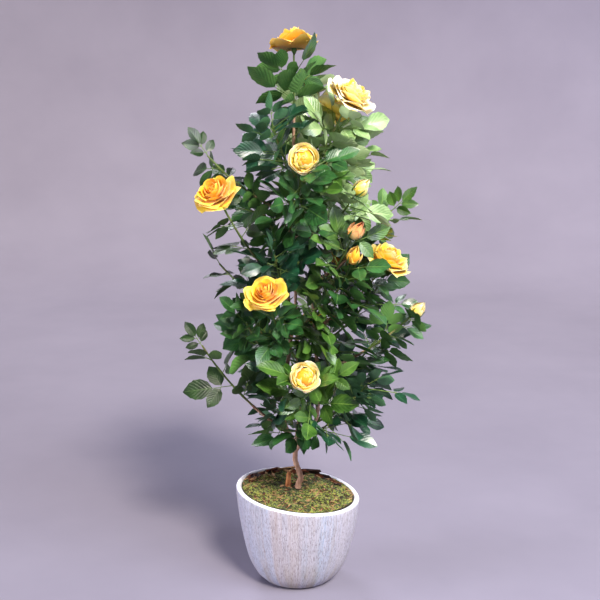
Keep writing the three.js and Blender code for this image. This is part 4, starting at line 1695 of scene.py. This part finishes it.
@dataclass
class Foliage:
    """Every spray's leaves, with their stalks and green stems."""

    sprays: list[Grown]
    rule: LeafRule = field(default_factory=LeafRule)
    places: list[LeafPlace] = field(default_factory=list)
    goes: tuple[tuple[float, float, int], ...] = (
        (0.92, 0, 3), (0.86, 26, 3), (0.82, 44, 3), (0.95, 0, 1), (0.9, 20, 1), (0.86, 0, 3), (0.9, 34, 1),
    )  # the finer leaves: size, twig and leaflets of each go over the sprays
    stem_radii: tuple[float, float] = (2.6, 1.7)  # of a spray's stem, at its foot and its tip

    def tint(self, grown: Grown) -> LeafTint:
        """The green that a spray is dealt."""
        name = grown.plan.name.removeprefix("spray_")
        for tint, names in DEALT.items():
            if name in names:
                return tint
        draw = Draws(grown.index * 17 + 5).next()
        for limit, tint in ((0.36, LeafTint.DEEP), (0.68, LeafTint.DARK), (0.93, LeafTint.OLIVE)):
            if draw < limit:
                return tint
        return LeafTint.PALE

    def takes(self, plan: Spray, go: int, twig: float) -> bool:
        """Whether a spray takes part in a go: the long arms and the left side stay open."""
        left = plan.azimuth > 180
        if plan.bough:
            return go == 0 and not left
        if go and (plan.height > 980 or (left and twig)):
            return False
        return go < 3 or plan.reach < 104

    def settle(self, room: Room) -> None:
        """Finds every leaf's place: the source's leaves first, then the finer ones."""
        for grown in self.sprays:
            room.keep_mesh(self.stem_mesh(grown, 3, 4), grown.plan.name)
        for grown in self.sprays:
            if grown.plan.tip is not Tip.LEAVES:
                room.keep_mesh(Bloom(grown).coarse(), "bloom")
        for grown in sorted(self.sprays, key=lambda grown: not grown.plan.bough):
            self.places += self.rule.grow(grown, room)
        log.info("%d leaves by the source's rule", len(self.places))
        for go, (shrink, twig, leaflets) in enumerate(self.goes):
            for grown in self.sprays:
                if self.takes(grown.plan, go, twig):
                    self.places += self.rule.fill(grown, room, go, shrink, twig, leaflets)
        self.places.append(self.crest_leaf())
        log.info("%d leaves with the finer ones", len(self.places))

    def crest_leaf(self) -> LeafPlace:
        """The single leaf that rises in front of the top rose."""
        top = self.sprays[0]
        direction = Vector((0.62, -0.85, 1)).normalized()
        front = Vector((0.5, -1, 0.1))
        facing = (front - direction * front.dot(direction)).normalized()
        return LeafPlace(top.route.point(0.66), direction, facing, 0.85, top.index, seed=9001, leaflets=1)

    def stem_mesh(self, grown: Grown, sides: int, rings: int) -> BMesh:
        """A spray's green stem, thinner towards its tip."""
        steps = [mix(grown.start, 1, i / rings) for i in range(rings + 1)]
        frames = [grown.route.frame(t) for t in steps]
        spots = [grown.route.point(t) for t in steps]

        def rule(angle: float, t: float) -> Vector:
            """A place on the stem's skin."""
            i = round(t * rings)
            _, side, front = frames[i]
            radius = mix(*self.stem_radii, t) * (1 + (0.12 * math.sin(5 * angle + i) if sides > 3 else 0))
            return spots[i] + (side * math.cos(angle) + front * math.sin(angle)) * radius

        bm = rolled(sides, rings, rule)
        bm.verts.index_update()
        return bm

    def kinds(self) -> list[Template]:
        """Leaflets that differ in width, fold, droop, twist and wave."""
        return [
            Leaflet(
                half=0.27 + 0.035 * (k % 3), fold=0.1 + 0.07 * (k % 4), droop=0.04 + 0.045 * (k % 5),
                twist=(k - 3.5) * 0.05, wave=0.01 * (k % 3),
            ).template()
            for k in range(8)
        ]

    def build(self) -> list[Piece]:
        """The stems' piece, the stalks' piece and a piece of leaves for each green.

        Returns:
            The pieces.
        """
        names = [grown.plan.name for grown in self.sprays]
        stems = Batch("spray_stems")
        for grown in self.sprays:
            rings = max(6, round(grown.route.length() * (1 - grown.start) / 9))
            stems.add(Template(self.stem_mesh(grown, 7, rings)), Matrix.Identity(4))
        pieces = [stems.build((SPRAY_GREEN,))]
        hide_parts(*names)
        stalks, kinds = Stalks(), self.kinds()
        batches = {tint: Batch(f"leaves_{tint.name.lower()}") for tint in LeafTint}
        for place in self.places:
            self.leaf(place, stalks, batches[self.tint(self.sprays[place.index])], kinds)
        pieces.append(stalks.build((STALK_GREEN,)))
        for tint, batch in batches.items():
            piece = batch.build(tint.finishes(), 70)
            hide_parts(*[grown.plan.name for grown in self.sprays if self.tint(grown) is tint])
            pieces.append(piece)
        return pieces

    def leaf(self, place: LeafPlace, stalks: Stalks, leaves: Batch, kinds: Sequence[Template]) -> None:
        """Adds one compound leaf: an end leaflet, and pairs along its stalk.

        Args:
            place: where it stands.
            stalks: takes its stalks.
            leaves: takes its leaflets.
            kinds: the leaflets to draw from.
        """
        draws = Draws(place.seed + 77)
        reach = self.rule.stalk * place.size
        span = self.rule.length * place.size * (0.8 if place.leaflets == 5 else 0.94)
        side = place.facing.cross(place.direction)
        long = reach + 0.13 * span
        if place.twig:
            foot = place.root - place.direction * place.twig
            stalks.run(foot, place.direction, place.facing, place.twig + 1, 1.25)
        stalks.run(place.root, place.direction, place.facing, long, 0.95)
        pairs = {1: [], 3: [(0.52, 0.84, 60)], 5: [(0.34, 0.74, 66), (0.76, 0.88, 52)]}[place.leaflets]
        spots = [(place.root + place.direction * (long - 1), place.direction, span)]
        for share, part, angle in pairs:
            for sign in (-1, 1):
                turn = math.radians(sign * (angle + draws.between(-9, 9)))
                way = place.direction * math.cos(turn) + side * math.sin(turn)
                foot = place.root + place.direction * (share * long + draws.between(-1.5, 1.5))
                stalks.run(foot, way, place.facing, 4.5, 0.75)
                spots.append((foot + way * 3.6, way, span * part * draws.between(0.9, 1.06)))
        for root, way, length in spots:
            level = place.facing.cross(way)
            tip = way + place.facing * draws.between(-0.22, 0.18)
            face = place.facing + level * draws.between(-0.34, 0.34)
            leaves.add(kinds[int(draws.next() * len(kinds))], placing(root, tip, face, length))


# ---------------------------------------------------------------- roses


@dataclass(frozen=True)
class Ring:
    """One ring of petals: how each rises and how wide it is, in shares of the bloom's radius."""

    count: int
    path: tuple[tuple[float, float], ...]  # radius and height: foot, pull, lip
    span: float  # half the petal's width, in degrees round the axis
    reflex: float = 0.0  # how far the lip rolls back
    tone: int = 0  # 0 outer, 1 inner, 2 heart
    ruffle: float = 0.03
    until: float = 1.0  # share of the path at which the lip ends
    slim: float = 1.0  # share of the path's radius
    point: float = 0.18  # how much the petal narrows to its tip


GLOBE = ((0.08, 0.0), (1.05, 0.0), (1.12, 1.32), (0.0, 1.3))
ROSES: dict[Tip, tuple[Ring, ...]] = {
    Tip.FULL: (
        Ring(5, ((0.08, 0.0), (0.72, -0.05), (1.06, 0.34)), 44, 0.19, 0, 0.07),
        Ring(5, ((0.08, 0.03), (0.68, 0.04), (0.97, 0.46)), 46, 0.16, 0, 0.06),
        Ring(5, ((0.08, 0.05), (0.62, 0.14), (0.84, 0.56)), 48, 0.12, 0, 0.03),
        Ring(5, ((0.08, 0.06), (0.54, 0.26), (0.66, 0.66)), 47, 0.08, 1),
        Ring(5, ((0.08, 0.1), (0.46, 0.32), (0.5, 0.73)), 48, 0.06, 1),
        Ring(4, ((0.07, 0.12), (0.4, 0.4), (0.36, 0.76)), 58, 0.04, 2),
        Ring(4, ((0.06, 0.14), (0.32, 0.45), (0.24, 0.78)), 60, 0.03, 2),
        Ring(3, ((0.05, 0.14), (0.22, 0.5), (0.14, 0.79)), 72, 0.02, 2),
        Ring(3, ((0.03, 0.14), (0.12, 0.5), (0.05, 0.79)), 80, 0.01, 2),
    ),
    Tip.CABBAGE: (
        Ring(5, ((0.1, -0.02), (1.2, 0.0), (1.14, 0.84)), 44, 0.16),
        Ring(5, ((0.1, 0.0), (1.12, 0.02), (1.03, 1.0)), 46, 0.09),
        Ring(4, GLOBE, 56, 0.22, 1, 0.04, 0.66, 1.02),
        Ring(4, GLOBE, 56, 0.26, 1, 0.04, 0.73, 0.93),
        Ring(4, GLOBE, 58, 0.28, 1, 0.03, 0.79, 0.84),
        Ring(3, GLOBE, 68, 0.28, 2, 0.03, 0.84, 0.74),
        Ring(3, GLOBE, 74, 0.26, 2, 0.02, 0.9, 0.64),
        Ring(3, GLOBE, 82, 0.14, 2, 0.01, 0.95, 0.52),
        Ring(3, GLOBE, 84, 0.0, 2, 0.01, 0.99, 0.36),
    ),
    Tip.BUD: (
        Ring(3, ((0.2, -0.1), (1.35, 0.0), (1.3, 1.5), (0.95, 2.15)), 56, 0.26, 0, 0.06, point=0.4),
        Ring(3, ((0.2, -0.1), (1.3, 0.2), (1.1, 1.8), (0.5, 2.55)), 58, 0.1, 0, 0.05, point=0.42),
        Ring(3, ((0.2, -0.1), (1.2, 0.3), (0.9, 2.1), (0.16, 2.95)), 62, 0.02, 1, 0.03, point=0.45),
        Ring(3, ((0.2, -0.1), (1.0, 0.3), (0.65, 2.3), (0.04, 3.1)), 70, 0.0, 1, 0.02, slim=0.9, point=0.45),
    ),
}

DYES: dict[Silk, tuple[tuple[tuple[float, str], ...], ...]] = {
    Silk.GOLD: (
        ((0.0, "ee9a08"), (0.3, "f8b808"), (0.7, "fccf18"), (1.0, "fedc5c")),
        ((0.0, "e88e08"), (0.4, "f5b00a"), (0.8, "fcc814"), (1.0, "fac43c")),
        ((0.0, "e07e06"), (0.5, "f09c0c"), (0.85, "f8b41c"), (1.0, "f4a442")),
        ((0.0, "dc8c08"), (0.5, "eca40e"), (0.85, "f6c02c"), (1.0, "fad468")),
    ),
    Silk.CREAM: (
        ((0.0, "f8bc20"), (0.3, "fdda52"), (0.68, "feec9c"), (1.0, "fff2dc")),
        ((0.0, "f6b40e"), (0.4, "fdd21e"), (0.75, "ffe648"), (1.0, "fff6b8")),
        ((0.0, "f0a00e"), (0.5, "fac21a"), (0.85, "fdd834"), (1.0, "fce08a")),
        ((0.0, "f6b818"), (0.5, "fcd648"), (0.85, "fdea98"), (1.0, "fef0da")),
    ),
    Silk.AMBER: (
        ((0.0, "f4c84a"), (0.5, "f8cc74"), (1.0, "f2a878")),
        ((0.0, "f0b434"), (0.6, "ee9c4c"), (1.0, "dc6c40")),
        ((0.0, "dc8418"), (0.6, "e07834"), (1.0, "c8502e")),
        ((0.0, "f6d860"), (0.5, "f8d688"), (0.8, "f2b06c"), (1.0, "dc7048")),
    ),
    Silk.LEMON: (
        ((0.0, "f0a40a"), (0.35, "fabc14"), (0.75, "fed93c"), (1.0, "fff0a4")),
        ((0.0, "ee980c"), (0.45, "f8b410"), (0.8, "fed22e"), (1.0, "fde48c")),
        ((0.0, "e4860a"), (0.5, "f4a410"), (0.85, "fbc026"), (1.0, "f8c860")),
        ((0.0, "ee9c0a"), (0.45, "f6bc22"), (0.8, "fcdc5c"), (1.0, "fff2b8")),
    ),
}  # the tones from foot to lip, outside, inside, in the heart and on the back of the petals
SILKS = {
    silk: [
        Petal(f"{silk.value}_{part}", tones, 0.6 if part == "back" else 0.55)
        for part, tones in zip(("outer", "inner", "heart", "back"), rows)
    ]
    for silk, rows in DYES.items()
}
HEADS = {
    Tip.FULL: ((0, -0.1), (0.16, 0.14), (0.72, 0.3), (1, 0.58), (0.62, 0.6), (0.42, 0.86), (0, 0.92)),
    Tip.CABBAGE: ((0, -0.15), (0.26, 0.16), (0.86, 0.45), (1.1, 1), (1.0, 2.4), (0, 2.6)),
    Tip.BUD: ((0, -0.2), (0.4, 0.05), (1.3, 0.6), (1.6, 1.2), (1.4, 2.4), (0, 3.2)),
}  # the coarse outline of each kind of bloom, in shares of its radius
HEART = ((0, 0.1), (0.42, 0.2), (0.68, 0.6), (0.6, 0.92), (0.42, 1.08), (0.2, 1.18), (0, 1.2))
HIPS = {Tip.FULL: 5.2, Tip.CABBAGE: 4.6, Tip.BUD: 3.9}  # their radii


@dataclass(frozen=True)
class Calyx:
    """The small meshes that the blooms share."""

    sepal: Template  # of length 1
    clasp: Template  # a sepal that clasps a bud of radius 1
    hip: Template  # of radius 1
    heart: Template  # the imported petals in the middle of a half-open rose of radius 1


@dataclass
class Bloom:
    """One rose or bud at a spray's tip."""

    grown: Grown
    grid: tuple[int, int] = (6, 6)

    @property
    def radius(self) -> float:
        """The bloom's radius."""
        return self.grown.plan.tip.value

    @property
    def place(self) -> Matrix:
        """The matrix that stands the bloom on its spray."""
        turn = UP.rotation_difference(self.grown.plan.facing).to_matrix().to_4x4()
        return Matrix.Translation(self.grown.route.point(1)) @ turn

    def coarse(self) -> BMesh:
        """The space that the bloom takes, with the height and width of its rings."""
        bm = turned([(self.radius * r, self.radius * z) for r, z in HEADS[self.grown.plan.tip]], 10)
        bm.transform(self.place)
        bm.verts.index_update()
        return bm

    def petal(self, ring: Ring, turn: float, draws: Draws) -> Template:
        """One petal.

        Args:
            ring: its ring.
            turn: where it stands round the axis, in degrees.
            draws: its draws.

        Returns:
            The petal, with its foot on the axis.
        """
        radius = self.radius * self.grown.plan.opened * (1.07 if self.grown.plan.tip is Tip.FULL else 1)
        phase = draws.between(0, FULL_TURN)
        lean = draws.between(-0.09, 0.09)
        grow = draws.between(0.93, 1.03)
        skew = draws.between(-0.12, 0.12)
        span = math.radians(ring.span * draws.between(0.92, 1.08))

        def shape(u: float, v: float) -> Vector:
            """A place on the petal's inner face."""
            along = v * (1 - ring.point * u * u * v + 0.04 * math.exp(-((u / 0.3) ** 2)) * v)
            r, z = through(ring.path, along * ring.until)
            r *= ring.slim
            belly = 0.5 * math.sin(math.pi * min(1, 0.12 + 0.72 * along))
            wide = span * (0.62 + belly - ring.point * v**5)
            wave = ring.ruffle * math.sin(3.1 * u + phase) * v * v
            roll = ring.reflex * v**4 * (0.55 + 0.45 * abs(u))
            r += 0.035 * u * v + 0.4 * roll + wave + lean * v * 0.5
            z += 0.7 * wave - roll * (0.5 + 0.7 * u * u) + lean * v
            a = math.radians(turn) + wide * (u + skew * v)
            return Vector((r * math.cos(a), r * math.sin(a), z)) * radius * grow

        columns = tuple(-1 + 2 * i / self.grid[0] for i in range(self.grid[0] + 1))
        bm = Blade(columns, self.grid[1], shape, columns, 0.35).build()
        for face in bm.faces:
            face.material_index = 3 if face.material_index == 2 and ring.until == 1 else ring.tone
        return Template(bm)

    def add_to(self, petals: Batch, sepals: Batch, calyx: Calyx) -> None:
        """Adds the bloom's petals, its hip, its sepals and the heart of a half-open one.

        Args:
            petals: takes the petals.
            sepals: takes the sepals and the hip.
            calyx: the meshes to copy.
        """
        draws = Draws(self.grown.index * 57 + 3)
        first = 4 * list(Silk).index(self.grown.plan.silk)
        turn = draws.between(0, 360)
        for ring in ROSES[self.grown.plan.tip]:
            for k in range(ring.count):
                own = turn + 360 * k / ring.count + draws.between(-8, 8)
                petals.add(self.petal(ring, own, draws), self.place, first)
            turn += 180 / ring.count + draws.between(10, 30)
        if self.grown.plan.tip is Tip.CABBAGE:
            petals.add(calyx.heart, self.place @ Matrix.Scale(self.radius, 4), first + 2)
        girth = HIPS[self.grown.plan.tip]
        sepals.add(calyx.hip, self.place @ Matrix.Diagonal((girth, girth, girth * 1.5, 1)))
        for k in range(5):
            a = 2 * math.pi * k / 5 + turn
            out = Vector((math.cos(a), math.sin(a), 0))
            rise = draws.between(-0.55, 0.35)
            if self.grown.plan.tip is Tip.BUD:
                size = Matrix.Scale(self.radius * (1 + 0.12 * rise), 4)
                sepals.add(calyx.clasp, self.place @ Matrix.Rotation(a, 4, "Z") @ size)
            else:
                own = placing(out * girth * 0.7, out + UP * rise, UP - out * 0.1, self.radius * 0.62)
                sepals.add(calyx.sepal, self.place @ own)


@dataclass
class Roses:
    """All the roses and buds."""

    sprays: list[Grown]

    def build(self) -> list[Piece]:
        """The petals' piece and the piece of hips and sepals.

        Returns:
            The pieces.
        """
        petals, sepals = Batch("rose_petals"), Batch("rose_sepals")
        sepal = Template(Blade((-1, 0, 1), 6, self.sepal_place, (-1, 0, 1), 0.03).build())
        clasp = Template(Blade((-1, 0, 1), 8, self.clasp_place, (-1, 0, 1), 0.06).build())
        sepal.finish[:] = clasp.finish[:] = 0
        calyx = Calyx(sepal, clasp, Template(rolled(10, 8, self.hip_place)), Template(turned(HEART, 20)))
        bearing = [grown for grown in self.sprays if grown.plan.tip is not Tip.LEAVES]
        for grown in bearing:
            Bloom(grown).add_to(petals, sepals, calyx)
        blooms = petals.build([finish for silk in Silk for finish in SILKS[silk]], 100)
        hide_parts(*[grown.plan.name for grown in bearing])
        return [piece for piece in (blooms, sepals.build((SEPAL_GREEN,), 60))]

    @staticmethod
    def sepal_place(u: float, s: float) -> Vector:
        """A place on a sepal, from the share across and along."""
        wide = 0.13 * (s + 0.05) ** 0.3 * (1 - s) ** 0.9
        return Vector((s, u * wide, 0.1 * abs(u) * wide + 0.1 * math.sin(2.6 * s)))

    @staticmethod
    def clasp_place(u: float, s: float) -> Vector:
        """A place on a sepal that clasps a bud, in shares of the bud's radius."""
        r, z = through(((0.25, -0.2), (1.5, -0.25), (1.2, 0.9), (1.45, 1.8)), s)
        return Vector((r, u * 0.34 * (s + 0.04) ** 0.35 * (1 - s) ** 0.7, z))

    @staticmethod
    def hip_place(angle: float, t: float) -> Vector:
        """A place on a hip: a small urn under the petals."""
        wide = 0.25 + 0.85 * math.sin(math.pi * clamp01(0.08 + 0.72 * t)) - 0.2 * t
        return Vector((wide * math.cos(angle), wide * math.sin(angle), 1.6 * t - 1.3))


# ---------------------------------------------------------------- studio


@dataclass
class Studio:
    """A pale lilac sweep, a soft key from the right and a dim fill, with the camera in front."""

    distance: float = 2.376
    height: float = 1.15
    pitch: float = 13.5
    lens: float = 75.36
    aside: float = 0.0044
    middle: float = 0.55  # the height that the softbox looks at
    floor: float = 2.5  # radius of the flat floor
    bend: float = 1.3  # radius of the curve at its edge
    wall: float = 2.3  # height of the wall

    def build(self) -> None:
        """Makes the camera, the lights, the floor and the air."""
        self.camera()
        self.sun("key", 22, 44, 4.25, 12, "fff6e6")
        self.sun("rim", 200, 42, 1.3, 20, "f4f2ff")
        self.sun("fill", 284, 14, 3.2, 30, "f2f2ff").visible_glossy = False
        self.lamp("softbox", (1.6, -1.5, 2.5), 115, 1.7, "eef4ff")
        self.cove()
        world = bpy.data.worlds.new("studio")
        world.use_nodes = True
        world.node_tree.nodes["Background"].inputs["Color"].default_value = colour("c6c4d6")
        world.node_tree.nodes["Background"].inputs["Strength"].default_value = 0.22
        bpy.context.scene.world = world
        bpy.context.scene.view_settings.view_transform = "Standard"

    def camera(self) -> None:
        """Stands the camera in front of the bush, a little above it."""
        lens = bpy.data.cameras.new("camera")
        lens.lens, lens.sensor_width = self.lens, 36
        camera = linked("camera", lens)
        camera.location = (self.aside, -self.distance, self.height)
        camera.rotation_euler = (math.radians(90 - self.pitch), 0, 0)
        bpy.context.scene.camera = camera

    def light(self, name: str, kind: str, power: float, tone: str, way: Vector) -> Piece:
        """Adds a light of a kind that shines along a way."""
        data = bpy.data.lights.new(name, kind)
        data.energy, data.color = power, colour(tone)[:3]
        made = linked(name, data)
        made.rotation_euler = way.to_track_quat("-Z", "Y").to_euler()
        return made

    def sun(self, name: str, azimuth: float, rise: float, power: float, blur: float, tone: str) -> Piece:
        """Adds an even light that comes from an azimuth and a height in degrees, with a blur in degrees."""
        way = around(azimuth, math.cos(math.radians(rise)), math.sin(math.radians(rise)))
        made = self.light(name, "SUN", power, tone, -way)
        made.data.angle = math.radians(blur)
        return made

    def lamp(self, name: str, place: Sequence[float], power: float, size: float, tone: str) -> None:
        """Hangs a square lamp that looks at the bush."""
        made = self.light(name, "AREA", power, tone, Vector((0, 0, self.middle)) - Vector(place))
        made.data.size = size
        made.location = place

    def cove(self) -> None:
        """Lays a round floor whose edge curves up into a low wall, behind every view."""
        angles = np.linspace(0, math.pi / 2, 16)
        curve = [(self.floor + self.bend * math.sin(a), self.bend * (1 - math.cos(a))) for a in angles]
        outline = [(0, 0), (1, 0), *curve, (self.floor + self.bend, self.wall)]
        mesh = mesh_of("cove", turned([(r, z - 0.0005) for r, z in outline], 96, 1e-5))
        mesh.materials.append(dressed(PAPER))
        cove = linked("cove", mesh)
        cove.visible_shadow = False
        cove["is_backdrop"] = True


# ---------------------------------------------------------------- the whole bush


BOUGH_RADII = (3.6, 2.6)  # at its foot and where the leafy spray begins


def bough(grown: Grown) -> Piece:
    """The bare bough that a long arm starts with."""
    name = grown.plan.name.replace("spray", "bough")
    return Limb(name, grown.route, *BOUGH_RADII, end=grown.plan.bough, sides=9, spacing=4).build()


def main() -> None:
    """Builds the studio and the bush, piece by piece."""
    logging.basicConfig(level=logging.INFO, format="%(message)s")
    Studio().build()
    pot = Pot()
    moss = Moss(pot)
    stems = Stems(moss.ground)
    sprays = plan_routes([*FRONT_SPRAYS, *BACK.sprays(), *CORE.sprays()], stems)
    foliage = Foliage(sprays)
    foliage.settle(Room())
    pieces = [pot.build(), *moss.build(), *stems.build()]
    pieces += [bough(grown) for grown in sprays if grown.plan.bough]
    pieces += [*foliage.build(), *Roses(sprays).build()]
    for piece in pieces:
        log.info("%s: %d faces", piece.name, len(piece.data.polygons))


if __name__ == "__main__":
    main()
